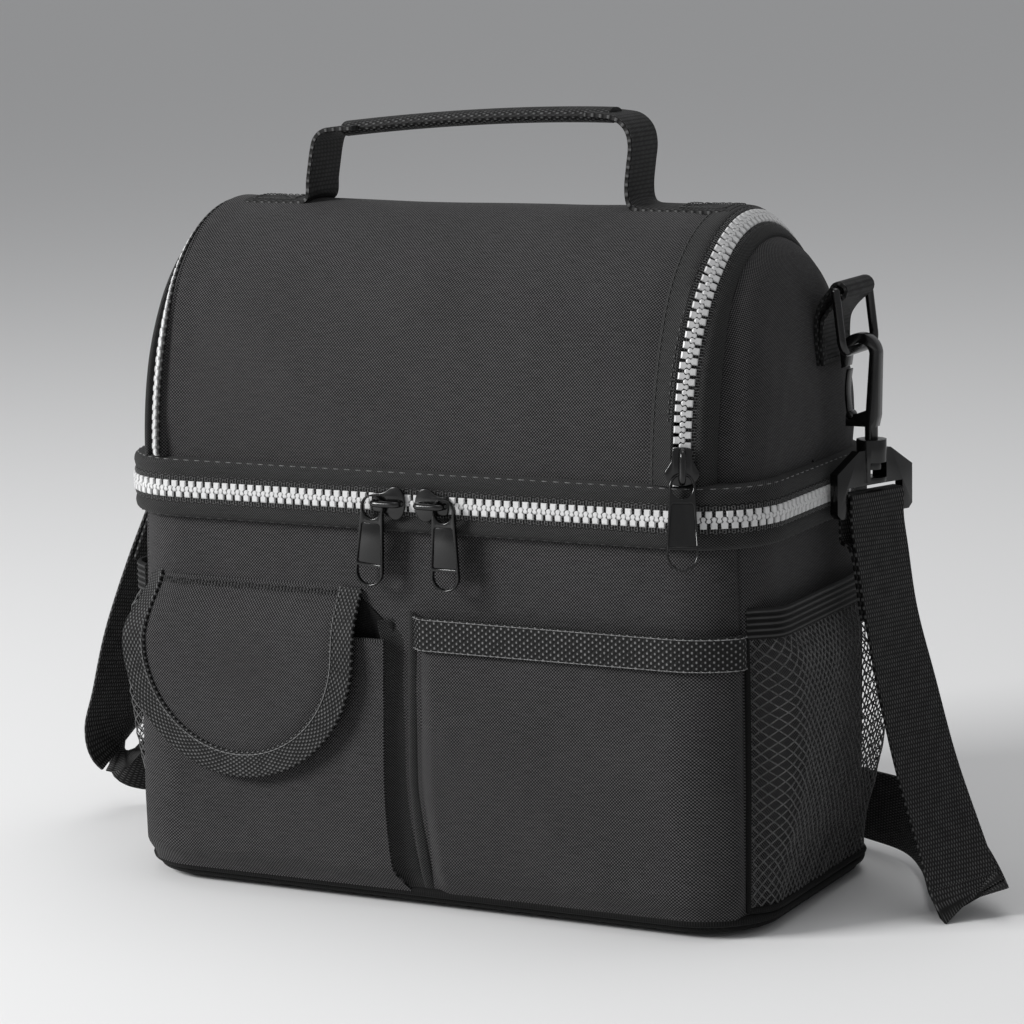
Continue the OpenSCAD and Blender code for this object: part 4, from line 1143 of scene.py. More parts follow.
@dataclass
class PouchFlap:
    """The tongue-shaped flap: cloth inside a ladder-weave edging, sewn flat to the wall along its top."""

    kit: Kit
    centre_x: float = -79.0
    centre_z: float = 102.0
    top: float = 128.0
    radius: float = 54.0
    trim_w: float = 10.5
    trim_t: float = 1.9
    turn_in: float = 4.0
    profile: Edge = ((40, 11.6), (80, 11.9), (98, 11.7), (106, 11.0), (113, 9.4), (119, 6.6), (124, 3.6), (128, 1.3))

    def build(self) -> None:
        """Makes the flap's pieces."""
        self.cloth()
        self.edging()
        closure(self.kit, "flap_hook_pile", 10.15, 0.85, "flap", "flap_hook_tape")

    def hang(self, obj: bpy.types.Object) -> None:
        """Bakes a piece's place into its mesh and leaves it on no body."""
        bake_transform(obj)
        LOG.info("%s bends from the wall to the flap", obj.name)

    def lay(self, x: np.ndarray, z: np.ndarray, lift: float = 0.0) -> np.ndarray:
        """Points on the flap: near its top it follows the wall and the wall's corner, and lower it hangs flat."""
        shape = self.kit.shape
        near = smooth((z - 102) / 24)
        past = np.clip(-x - shape.straight, 0, shape.corner_r - 4)
        recess = shape.corner_r - np.sqrt(shape.corner_r**2 - past**2)
        out = along_z(self.profile, z.ravel()).reshape(z.shape) + lift
        inwards = self.turn_in * near * np.clip((-x - 105) / 28, 0, 1)
        return np.stack([x + inwards, -shape.half_d - out + recess * near, z], -1)

    def cloth(self) -> None:
        """The cloth panel, slightly full in its middle."""
        r = self.radius - self.trim_w + 4
        x = np.linspace(-r * 0.999, r * 0.999, 60)
        low = self.centre_z - np.sqrt(r * r - x * x)
        z = low[:, None] + (self.top - low[:, None]) * np.linspace(0, 1, 60)
        inset = 1 - np.hypot(x[:, None], np.minimum(z - self.centre_z, 0)) / r
        wide = np.broadcast_to(x[:, None] + self.centre_x, z.shape)
        flat = self.lay(wide, z)
        fall = np.minimum(smooth(np.clip(inset, 0, 1) * 5), smooth((self.top - z) / 18))
        flat[:, :, 1] -= (0.9 + 0.5 * ripple(flat, 24, 4.4)) * fall
        obj = sheet("flap_cloth", flat, uv=np.stack([wide, z], 2), faces_to=(self.centre_x, 0, 90))
        obj = thicken(obj, 1.2)
        paint(obj, self.kit.finish.cloth, ["flap_panel", "flap_header"])
        self.hang(obj)

    def route(self, r: float, lift: float) -> tuple[np.ndarray, np.ndarray]:
        """Points of the flap's edge at a radius and the direction across it, down the left side and up the right."""
        legs = np.linspace(self.top - 0.6, self.centre_z, 14)[:-1]
        left = [(self.centre_x - r, z) for z in legs]
        tip = arc((self.centre_x, self.centre_z), r, 180, 360, 61)
        right = [(self.centre_x + r, z) for z in legs[::-1]]
        flat = np.array(left + tip + right)
        ahead = np.gradient(flat, axis=0)
        reach = 0.5 * unit(np.column_stack([-ahead[:, 1], ahead[:, 0]]))
        outer = self.lay(flat[:, 0] - reach[:, 0], flat[:, 1] - reach[:, 1], lift)
        return self.lay(flat[:, 0], flat[:, 1], lift), outer - self.lay(flat[:, 0] + reach[:, 0], flat[:, 1] + reach[:, 1], lift)

    def edging(self) -> None:
        """The ladder-weave edging with its stitches, and the bar of satin stitch along the top."""
        kit = self.kit
        path, across = self.route(self.radius - self.trim_w / 2, 0.6)
        trim = sweep("flap_edging", path, across, strap_section(self.trim_w, self.trim_t))
        paint(trim, kit.finish.ladder, ["flap_trim"])
        self.hang(trim)
        seam, _ = self.route(self.radius - self.trim_w + 1.1, 0.75 + self.trim_t / 2)
        row = kit.sew("flap_edging_stitches", seam, np.tile((0, -1.0, 0), (len(seam), 1)), kit.finish.pale_thread, 2.6)
        paint(row, kit.finish.pale_thread)
        self.hang(row)
        x = np.arange(self.centre_x - self.radius + 12, self.centre_x + self.radius - 12, 1.55)
        place = self.lay(x, np.full(len(x), self.top - 2.4), 0.5)
        slope = unit(np.tile((0, 0.55, 0.83), (len(x), 1)))
        width = np.tile((-1.0, 0, 0), (len(x), 1))
        bar = kit.stamper.run("flap_satin_bar", kit.stitch, place, np.stack([slope, width, np.cross(slope, width)], 1), kit.finish.thread)
        paint(bar, kit.finish.thread)
        self.hang(bar)


@dataclass
class SlipPocket:
    """The flat pocket at the front right, with a webbing edge along its mouth and a folded left seam."""

    kit: Kit
    top: float = 119.0
    out: float = 6.2
    stop_s: float = 138.0
    band_h: float = 14.0

    def build(self) -> None:
        """Makes the panel, its mouth and its seam."""
        right = ((0.0, self.stop_s), (130.0, self.stop_s))
        Pocket(self.kit, "slip_pocket_cloth", SEAM_RIGHT, right, self.top - 1, self.out, 9, 6, "right_pocket_panel").panel()
        self.mouth()
        self.seam()

    def mouth(self) -> None:
        """The webbing edge with a row of stitches along each side."""
        kit = self.kit
        s = np.linspace(-1.4, self.stop_s - 1, 100)
        ends = 0.4 + (self.out + 0.3) * np.minimum(smooth((s - s[0] + 3) / 9), smooth((s[-1] - s + 3) / 7))
        path = at_front(s, np.full(len(s), self.top - self.band_h / 2), ends, kit.shape)
        edge = sweep("slip_pocket_webbing", path, np.tile((0, 0, 1.0), (len(s), 1)), strap_section(self.band_h, 1.5))
        dress(edge, kit.finish.dashes, "lower", ["right_pocket_band"])
        for row, z in (("low", self.top - self.band_h + 0.7), ("high", self.top - 0.9)):
            path = at_front(s, np.full(len(s), z), ends + 0.8, kit.shape)
            seam = kit.sew(f"slip_pocket_stitches_{row}", path, out_at(kit.shape, s), kit.finish.pale_thread, 2.5)
            dress(seam, kit.finish.pale_thread, "lower")

    def seam(self) -> None:
        """The folded seam between the pouch and the pocket, which swings to the right near the base."""
        z = np.linspace(5.4, self.top + 0.6, 60)
        first, last = along_z(SEAM_LEFT, z), along_z(SEAM_RIGHT, z) + 0.8
        roll = np.array((0.3, 1.9, 2.3, 2.35, 2.2, 1.8, 1.5, 0.3))
        x = first + (last - first) * np.linspace(0, 1, len(roll))[:, None]
        out = roll[:, None] * (0.5 + 0.5 * smooth((z - 5) / 10))
        grid = np.stack([x, -self.kit.shape.half_d - out, np.broadcast_to(z, x.shape)], 2)
        obj = sheet("pocket_seam_fold", grid, faces_to=(0, 0, 60))
        dress(thicken(obj, 0.8), self.kit.finish.facing, "lower")


@dataclass
class NetPocket:
    """A side pocket of knotted net under a ribbed elastic."""

    kit: Kit
    side: Side
    cords: bpy.types.NodeTree
    bag: Edge = ((6, 2.0), (24, 4.0), (40, 8.0), (58, 11.4), (80, 13.4), (98, 13.2), (108, 10.6), (116, 6.6), (128, 5.4))
    top: float = 116.0
    foot: float = 7.0
    elastic_h: float = 12.0
    cell: tuple[float, float] = (3.9, 4.5)
    cord_r: float = 0.3
    overlap: float = 18.5

    def span(self, n: int) -> np.ndarray:
        """Distances round the body from the pocket's front edge to its back edge."""
        shape = self.kit.shape
        start = shape.legs[0] + shape.legs[1]
        return np.linspace(start - self.overlap, start + shape.legs[2] + self.overlap, n) * self.side.value

    def depth(self, s: np.ndarray, z: np.ndarray) -> np.ndarray:
        """How far the pocket stands out: it sags below the elastic and pulls in to the wall at both edges."""
        run = np.abs(s - s[0])
        pull = np.minimum(1, 0.1 + 0.9 * np.minimum(smooth(run / 13), smooth((run[-1] - run) / 13)))
        return pull[:, None] * along_z(self.bag, z)

    def build(self) -> None:
        """Makes the net, its elastic and its binding."""
        self.net()
        self.elastic()
        self.binding()

    def net(self) -> None:
        """Diamond net made from the edges of a slanting lattice."""
        kit, shape = self.kit, self.kit.shape
        length = abs(self.span(2)[1] - self.span(2)[0])
        nu, nv = int(length / self.cell[0]) * 2 + 1, int((self.top - self.foot) / self.cell[1]) * 2 + 1
        s = self.span(nu)
        z = np.linspace(self.foot, self.top + 1, nv)
        grid = wrap(shape, s, z, self.depth(s, z))
        grid += 0.5 * np.stack([ripple(grid, 9, k) for k in (1.5, 4.5, 8.5)], 2)
        at = {(i, j): k for k, (i, j) in enumerate((i, j) for i in range(nu) for j in range(nv) if (i + j) % 2 == 0)}
        edges = [(k, at[i + 1, j + d]) for (i, j), k in at.items() for d in (-1, 1) if (i + 1, j + d) in at]
        mesh = bpy.data.meshes.new("net_edges")
        mesh.from_pydata([(grid[i, j] * MM).tolist() for i, j in at], edges, [])
        obj = link(f"net_{self.side.label}", mesh)
        nodes = obj.modifiers.new("cord", "NODES")
        nodes.node_group = self.cords
        nodes[socket_id(self.cords, "Cord")] = self.cord_r * MM
        nodes[socket_id(self.cords, "Finish")] = kit.finish.net
        dress(bake(obj), kit.finish.net, "lower", [f"mesh_pocket_{self.side.label}"], sharp=180)

    def elastic(self) -> None:
        """The ribbed elastic along the mouth."""
        s = self.span(160)
        middle = self.top + self.elastic_h / 2
        out = self.depth(s, np.array([middle]))[:, 0] + 0.6
        path = at_front(s, np.full(len(s), middle), out, self.kit.shape)
        across = np.linspace(-self.elastic_h / 2, self.elastic_h / 2, 41)
        ribs = 0.6 + 0.5 * np.abs(np.sin(5 * math.pi * (across / self.elastic_h + 0.5)))
        section = np.vstack([np.column_stack([across, -ribs]), np.column_stack([across[::-1], ribs[::-1]])])
        obj = sweep(f"net_elastic_{self.side.label}", path, np.tile((0, 0, 1.0), (len(s), 1)), section)
        dress(obj, self.kit.finish.elastic, "lower", [f"mesh_elastic_{self.side.label}"])

    def binding(self) -> None:
        """The plain binding along the other three edges."""
        s = self.span(160)
        z = np.linspace(self.foot + 1, self.top, 30)
        out = self.depth(s, z) + 0.3
        first = at_front(np.full(30, s[0]), z, out[0], self.kit.shape)
        last = at_front(np.full(30, s[-1]), z, out[-1], self.kit.shape)
        foot = at_front(s, np.full(len(s), z[0]), out[:, 0], self.kit.shape)
        path = np.vstack([first[:0:-1], foot, last[1:]])
        dress(tube(f"net_binding_{self.side.label}", path, 1.3, 8), self.kit.finish.nylon, "lower")


# Zips


def tooth_template() -> bpy.types.Object:
    """One moulded tooth: a block on the tape, a neck and a round head, with its head along Y and its face along Z."""
    half = [(1.3, -3.4), (1.38, -1.3), (0.68, -0.8), (0.6, -0.35), (1.02, 0.2), (0.98, 0.75), (0.45, 1.15)]
    ring = half + [(-x, y) for x, y in half[::-1]]
    layers = [(0.8, -1.5), (1.0, -1.1), (1.0, 1.1), (0.8, 1.5)]
    centre = np.array((0.0, -1.0))
    points = [(*(centre + (np.array(p) - centre) * (k if abs(z) > 1.2 else 1.0)), z) for k, z in layers for p in ring]
    n = len(ring)
    faces = [tuple(range(n))[::-1], tuple(range(3 * n, 4 * n))]
    faces += [(r * n + i, r * n + (i + 1) % n, (r + 1) * n + (i + 1) % n, (r + 1) * n + i) for r in range(3) for i in range(n)]
    mesh = bpy.data.meshes.new("tooth")
    mesh.from_pydata([(x * MM, y * MM, z * MM) for x, y, z in points], [], faces)
    obj = link("tooth", mesh)
    mend(obj)
    return obj


def tick_template() -> bpy.types.Object:
    """One bright binding thread beside the teeth, along Y."""
    return tube("tick", np.array([(0, -0.9, -0.1), (0, 0, 0.12), (0, 0.9, -0.1)]), 0.17, 5)


@dataclass
class ZipKit:
    """Lays tapes, teeth and binding threads along any chain."""

    kit: Kit
    tooth: bpy.types.Object
    tick: bpy.types.Object
    pitch: float = 4.0
    tick_pitch: float = 1.2
    tape_t: float = 1.1

    def row(self, name: str, template: bpy.types.Object, frames: np.ndarray, places: np.ndarray, finish: bpy.types.Material, slot: str, body: str, replaced: Sequence[str] = ()) -> None:
        """Stamps a row of small shapes and sets it on its body."""
        obj = self.kit.stamper.run(name, template, places, frames, finish)
        dress(obj, finish, body, replaced, sharp=35)

    def tape(self, name: str, path: np.ndarray, across: np.ndarray, width: float, body: str, replaced: Sequence[str] = ()) -> None:
        """A woven tape of the given width centred on a path."""
        obj = sweep(name, path, across, strap_section(width, self.tape_t))
        dress(obj, self.kit.finish.webbing, body, replaced)


@dataclass
class FrontZip:
    """The zip round the front and both ends, between the two compartments, and the fabric hinge behind."""

    kit: Kit
    zips: ZipKit
    out: float = 3.8
    side_run: float = 74.0
    tape_in: float = 1.3
    tape_w: float = 5.0
    thread_in: float = 4.25

    @property
    def reach(self) -> float:
        """Distance from the middle of the front to the zip's ends."""
        legs = self.kit.shape.legs
        return legs[0] + legs[1] + self.side_run

    def on_outline(self, chain: np.ndarray) -> np.ndarray:
        """Distances along the body's outline for distances along the chain, which is longer at the corners."""
        first, bend = self.kit.shape.legs[:2]
        wide = 1 + self.out / self.kit.shape.corner_r
        run = np.abs(chain)
        past = first + bend + run - first - bend * wide
        turned = first + (run - first) / wide
        return np.sign(chain) * np.where(run < first, run, np.where(run < first + bend * wide, turned, past))

    def frames(self, s: np.ndarray, way: int) -> np.ndarray:
        """Directions of a tooth's width, head and face, for heads that point up or down."""
        face = out_at(self.kit.shape, s)
        head = np.tile((0, 0, float(way)), (len(s), 1))
        return np.stack([np.cross(head, face), head, face], 1)

    def build(self) -> None:
        """Makes both halves and the hinge."""
        for row in Row:
            self.half(row)
        self.hinge()

    def half(self, row: Row) -> None:
        """One half: its tape, teeth and binding threads."""
        kit, shape, zips = self.kit, self.kit.shape, self.zips
        lower = row is Row.LOWER
        body = "lower" if lower else "upper"
        way = 1 if lower else -1
        s = np.linspace(-self.reach, self.reach, 240)
        mid = shape.zip_z - way * (self.tape_in + self.tape_w / 2 - 0.3)
        path = at_front(s, np.full(len(s), mid), np.full(len(s), self.out), shape)
        zips.tape(f"{body}_zip_tape_weave", path, np.tile((0, 0, 1.0), (len(s), 1)), self.tape_w, body, [f"{body}_zip_tape"])
        first = 0.0 if lower else zips.pitch / 2
        count = int(self.reach / zips.pitch)
        at = np.arange(-count, count + 1) * zips.pitch + first
        at = self.on_outline(at)
        places = at_front(at, np.full(len(at), shape.zip_z), np.full(len(at), self.out), shape)
        zips.row(f"{body}_zip_teeth_row", zips.tooth, self.frames(at, way), places, kit.finish.teeth, "teeth", body, [f"{body}_zip_teeth"])
        at = self.on_outline(np.arange(-self.reach, self.reach, zips.tick_pitch))
        places = at_front(at, np.full(len(at), shape.zip_z - way * self.thread_in), np.full(len(at), self.out + 0.7), shape)
        zips.row(f"{body}_zip_threads", zips.tick, self.frames(at, way), places, kit.finish.binder, "webbing", body)

    def hinge(self) -> None:
        """The fabric hinge at the back, with its two side leaves split at the hinge line."""
        kit, shape = self.kit, self.kit.shape
        around = shape.around
        back = np.linspace(self.reach + 46, around - self.reach - 46, 150)
        z = np.linspace(shape.low_band_top - 1.2, shape.up_band_z + 1.2, 24)
        out = np.broadcast_to(3.6 + 0.9 * np.sin(np.linspace(0, math.pi, 24))[None, :], (150, 24))
        obj = thicken(sheet("rear_hinge_cloth", wrap(shape, back, z, out), faces_to=(0, 0, 164)), 1.0)
        paint(obj, kit.finish.facing, ["rear_hinge_lower", "rear_hinge_upper"])
        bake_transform(obj)
        for side in Side:
            s = np.linspace(self.reach + 0.5, self.reach + 46.5, 40) * side.value
            for body, lo, hi in (("lower", shape.low_band_top - 1, shape.zip_z - 0.25), ("upper", shape.zip_z + 0.25, shape.up_band_z + 1)):
                leaf = strip(kit, f"hinge_leaf_{body}_{side.label}", s, (lo + hi) / 2, 3.7, hi - lo, 1.1)
                dress(leaf, kit.finish.facing, body)


@dataclass(frozen=True)
class ArchLine:
    """The course of an arched zip, which turns towards the end of the bag as it rises."""

    shape: BagShape
    low: tuple[float, float, float] = (118.0, 1.2, 28.0)
    high: tuple[float, float, float] = (119.4, -2.2, 42.0)
    # The soft cover lies a little to the left, and its left edge turns further round the end
    skew: float = -3.2
    left_sink: float = -1.6
    left_turn: float = 21.0
    ease_from: float = 36.0
    ease_run: float = 60.0

    def ease(self, s: np.ndarray) -> np.ndarray:
        """0 near both seams and 1 over the crown, at distances s from the front seam."""
        s = np.asarray(s, float)
        near = np.minimum(s, self.shape.arch_len - s)
        return smooth((near - self.ease_from) / self.ease_run)

    def frames(self, s: np.ndarray, sign: float) -> tuple[np.ndarray, np.ndarray, np.ndarray, np.ndarray]:
        """Places of the chain's middle, and its directions along, towards the end, and out of its face."""
        mix = self.ease(s)[:, None]
        x, out, tilt = ((1 - mix) * self.low + mix * self.high).T
        if sign < 0:
            out, tilt = out + self.left_sink, tilt + self.left_turn
        p = self.shape.arch(self.shape.lean(s), out)
        place = np.column_stack([sign * x + self.skew, p[:, :2]])
        up = np.column_stack([np.zeros(len(s)), p[:, 2:]])
        end = np.tile((sign, 0.0, 0.0), (len(s), 1))
        c, d = np.cos(np.radians(tilt))[:, None], np.sin(np.radians(tilt))[:, None]
        along = np.column_stack([np.zeros(len(s)), p[:, 3], -p[:, 2]])
        return place, along, c * end - d * up, c * up + d * end


@dataclass
class ArchZip:
    """The zip over both ends of the cover."""

    kit: Kit
    zips: ZipKit
    line: ArchLine
    tape_in: float = 1.3
    tape_w: float = 5.0
    thread_in: float = 4.25
    bare: float = 2.0

    def build(self) -> None:
        """Makes the fixed and the moving half at both ends."""
        for side in Side:
            self.half(side, "cover", -1)
            self.half(side, "upper", 1)

    def half(self, side: Side, body: str, way: int) -> None:
        """One half at one end: way is -1 for the cover's half and +1 for the end panel's half."""
        kit, zips, sign = self.kit, self.zips, side.value
        length = kit.shape.arch_len
        word = "cover" if body == "cover" else "end"
        name = f"arch_{word}_{side.label}"
        nodes = ([f"arch_tape_{word}"], [f"arch_teeth_{word}"]) if side is Side.LEFT else ([], [])
        start = 25.0 if body == "cover" and side is Side.RIGHT else 1.0
        place, _, wide, _ = self.line.frames(np.linspace(start, length - 1, 130), sign)
        middle = place + wide * way * (self.tape_in + self.tape_w / 2 - 0.3)
        zips.tape(f"{name}_tape", middle, wide, self.tape_w, body, nodes[0])
        shift = 0.0 if body == "cover" else zips.pitch / 2
        place, _, wide, face = self.line.frames(np.arange(self.bare + shift, length - 2, zips.pitch), sign)
        frames = np.stack([np.cross(-way * wide, face), -way * wide, face], 1)
        zips.row(f"{name}_teeth", zips.tooth, frames, place, kit.finish.teeth, "teeth", body, nodes[1])
        place, _, wide, face = self.line.frames(np.arange(start + 1, length - 2, zips.tick_pitch), sign)
        frames = np.stack([np.cross(-way * wide, face), -way * wide, face], 1)
        places = place + wide * way * self.thread_in + face * 0.65
        zips.row(f"{name}_threads", zips.tick, frames, places, kit.finish.binder, "webbing", body)


@dataclass
class ZipFittings:
    """The sliders, bell-shaped under a rod bail, and their hollow pulls."""

    kit: Kit
    line: ArchLine
    bell: Loop = (
        (-6.0, 0), (-5.7, 2.6), (-4.6, 5.0), (-2.6, 6.5), (-0.4, 6.5), (1.6, 5.3), (3.4, 4.3), (5.4, 3.9),
        (7.4, 3.8), (8.5, 3.0), (8.9, 0),
    )
    plate_t: float = 1.5
    plate_at: float = 2.55
    pull_t: float = 2.2
    pull_at: float = 4.7
    rim_w: float = 0.95
    eye_r: float = 5.1
    end_r: float = 6.2
    end_at: float = -25.8
    panel_from: float = -6.3
    panel_to: float = -22.6
    chain_out: float = 3.8
    front_x: float = 8.3
    front_eye: tuple[float, float] = (7.6, -1.8)
    arch_s: float = 6.9
    arch_eye: float = -6.15

    def slider(self, name: str) -> bpy.types.Object:
        """A slider with its narrow end along X and its face along Z."""
        ring = list(self.bell) + [(u, -v) for u, v in self.bell[-2:0:-1]]
        loop = [(u, v) for u, v, _ in spline([(u, v, 0) for u, v in ring], 0.6, closed=True)[::-1]]
        parts = []
        for way in (-1, 1):
            half = plate(f"{name}_plate", [loop], self.plate_t, 0.45)
            parts.append(move(half, Matrix.Translation((0, 0, way * self.plate_at * MM))))
        post = plate(f"{name}_post", [arc((-3.0, 0), 1.5, 0, 330, 12)], 2 * self.plate_at, 0.2)
        bail = [(-4.4, 2.8), (-4.3, 5.0), (-3.4, 6.3), (-1.6, 6.8), (4.4, 6.8), (6.3, 6.3), (7.2, 5.0), (7.3, 2.8)]
        rod = tube(f"{name}_bail", spline([(u, 0, w) for u, w in bail], 0.5), 1.3, 12)
        return join(name, parts + [post, rod])

    def pull(self, name: str) -> bpy.types.Object:
        """A pull hanging along -Y from its eye: a rim round an eye, a sunk panel and an open loop."""
        outer = arc((0, 0), self.eye_r, -15, 195, 30) + arc((0, self.end_at), self.end_r, 180, 360, 30)
        eye = [(x, y * 1.08) for x, y in arc((0, 0), self.eye_r - self.rim_w, 345, 0, 24)]
        top, low, narrow, wide = self.panel_from, self.panel_to, self.eye_r - self.rim_w, self.end_r - self.rim_w
        panel = [(0.6 - narrow, top), (narrow - 0.6, top), (narrow, top - 0.6), (wide, low + 0.4), (wide - 0.4, low)]
        panel += [(0.4 - wide, low), (-wide, low + 0.4), (-narrow, top - 0.6)]
        loop = arc((0, self.end_at), wide, 0, -180, 24)
        loop = [(-wide, low - 1.2), (wide, low - 1.2)] + loop
        rim = plate(f"{name}_rim", [outer, eye, panel, loop], self.pull_t, 0.4)
        face = [(x * 1.06, y) for x, y in panel[::-1]]
        return join(name, [rim, plate(f"{name}_panel", [face], self.pull_t * 0.55, 0.15)])

    def build(self) -> None:
        """Sets three sliders and their pulls in place."""
        level, front = self.kit.shape.zip_z, -self.kit.shape.half_d - self.chain_out
        for side in Side:
            word, sign = side.label, side.value
            spot = frame_at((sign * self.front_x, front, level), (sign, 0, 0), (0, 0, 1), (0, -1, 0))
            self.fit(self.slider(f"zip_slider_{word}"), spot, f"front_slider_{word}", f"slider_{word}")
            turn = Matrix.Rotation(math.radians(4.5 if side is Side.LEFT else 0.5), 4, "Z")
            eye = Matrix.Translation(Vector((self.front_eye[0], self.front_eye[1], self.pull_at)) * MM)
            hung = spot @ eye @ turn
            self.fit(self.pull(f"zip_pull_{word}"), hung, f"front_pull_{word}", f"pull_{word}")
        place, along, wide, face = (rows[0] for rows in self.line.frames(np.array([self.arch_s]), 1.0))
        spot = frame_at(place, along, -wide, face)
        self.fit(self.slider("arch_zip_slider"), spot, "cover_slider", "arch_slider")
        eye = Matrix.Translation(Vector((self.arch_eye, 0, self.pull_at)) * MM)
        hang = Matrix.Rotation(math.radians(-90), 4, "Z") @ Matrix.Rotation(math.radians(-11), 4, "X")
        self.fit(self.pull("arch_zip_pull"), spot @ eye @ hang, "cover_pull", "arch_pull")

    def fit(self, obj: bpy.types.Object, place: Matrix, body: str, node: str) -> None:
        """Carries a fitting to its place and sets it on its body."""
        dress(move(obj, place), self.kit.finish.gloss, body, [node], sharp=50)


# Upper compartment, cover and handle


@dataclass
class UpperBox:
    """The upper tray: its padded band, floor, lining and padded ends."""

    kit: Kit
    line: ArchLine
    rim: tuple[Flat, ...] = ((121.6, -6.0), (122.6, -4.9), (124.4, -5.2), (126.2, -6.6), (127.2, -8.4), (127.0, -9.8))
    pillow: tuple[Flat, ...] = (
        (1.0, 127.0), (0.99, 129.0), (0.97, 131.4), (0.93, 134.4), (0.86, 137.2), (0.76, 139.2), (0.6, 140.3),
        (0.4, 140.6), (0.0, 140.7),
    )
    crown_in: float = 0.3
    skew_run: float = 14.0

    def build(self) -> None:
        """Makes every piece of the tray."""
        shape = self.kit.shape
        band(self.kit, "upper_band_cloth", "upper", "upper_band", True)
        pan(self.kit, "upper_lining_foil", "upper", ["upper_liner"], shape.up_band_z + 3.4, shape.seam_z + 5)
        self.divider()
        for side in Side:
            self.end_panel(side)

    def divider(self) -> None:
        """The floor between the compartments, foil below."""
        shape = self.kit.shape
        s = np.arange(200) * shape.around / 200
        rim = [(-6.9, shape.up_band_z + 2.6), (-6.6, shape.up_band_z + 1.2), (-7.2, shape.up_band_z + 0.3), (-9.0, shape.up_band_z + 0.05)]
        rings = [np.column_stack([shape.plan(s, o)[:, :2], np.full(len(s), z)]) for o, z in rim]
        rings += [rings[-1] * (k, k, 1.0) for k in (0.9, 0.75, 0.5, 0.25, 0.0)]
        obj = sheet("divider_foil", np.stack(rings, 1), wrap_u=True, faces_to=None)
        mend(obj, merge=0.01)
        dress(thicken(obj, 0.6), self.kit.finish.foil, "upper", ["divider_panel"])

    def end_panel(self, side: Side) -> None:
        """A padded end: a rolled rim beside the zip, a creased seam and a soft pillow that leans in at its top."""
        shape = self.kit.shape
        s = np.linspace(0, shape.arch_len, 141)
        a = shape.lean(s)
        flare = 1 - self.line.ease(s)
        roll = spline([(x, o, 0) for x, o in self.rim], 0.7)
        rows = []
        for x, o, _ in roll:
            near = smooth(np.array((o - self.rim[-1][1]) / 5))
            place = shape.arch(a, o + 4.2 * flare * near)[:, :2]
            rows.append(np.column_stack([np.full(len(a), x), place]))
        grid = self.lean_in(np.stack(rows), side)
        obj = sheet(f"end_rim_{side.label}", grid, faces_to=(0, 0, 215))
        dress(thicken(obj, 1.2), self.kit.finish.facing, "upper")
        edge, low = rows[-1][:, 1:], np.array((0.0, shape.seam_z))
        k, x = np.array(self.pillow).T
        fine = np.concatenate([np.linspace(1, 0.9, 14), np.linspace(0.88, 0.02, 34)])
        across = np.interp(fine, k[::-1], x[::-1])
        places = low + fine[:, None, None] * (edge - low)
        grid = np.concatenate([np.broadcast_to(across[:, None, None], places.shape[:2] + (1,)), places], 2)
        seat = smooth((grid[:, :, 2] - shape.seam_z) / 14)
        rumple = 0.8 * ripple(grid, 34, 6.1) + 0.4 * ripple(grid, 14, 2.2)
        grid[:, :, 0] += rumple * smooth((1 - fine) * 6)[:, None] * (0.3 + 0.7 * seat) - 1.2 * (1 - seat)
        roll = places + (self.pillow[-1][1] - grid[:, :, :1]) * unit(edge - low)
        grid = self.lean_in(grid, side)
        obj = sheet(f"end_pad_{side.label}", grid, uv=roll, faces_to=(0, 0, 215))
        obj = dress(thicken(obj, 5.0), self.kit.finish.cloth, "upper", [f"end_panel_{side.label}"])

    def lean_in(self, grid: np.ndarray, side: Side) -> np.ndarray:
        """Sets an end on its side of the bag, drawn in towards its crown and carried with the skewed zip."""
        out, first = grid.copy(), self.rim[0][0]
        share = 1 - self.crown_in * smooth((grid[..., 2] - 195) / 80)
        carried = self.line.skew * (1 - smooth((grid[..., 0] - first) / self.skew_run))
        out[..., 0] = side.value * (first + (grid[..., 0] - first) * share) + carried
        return out


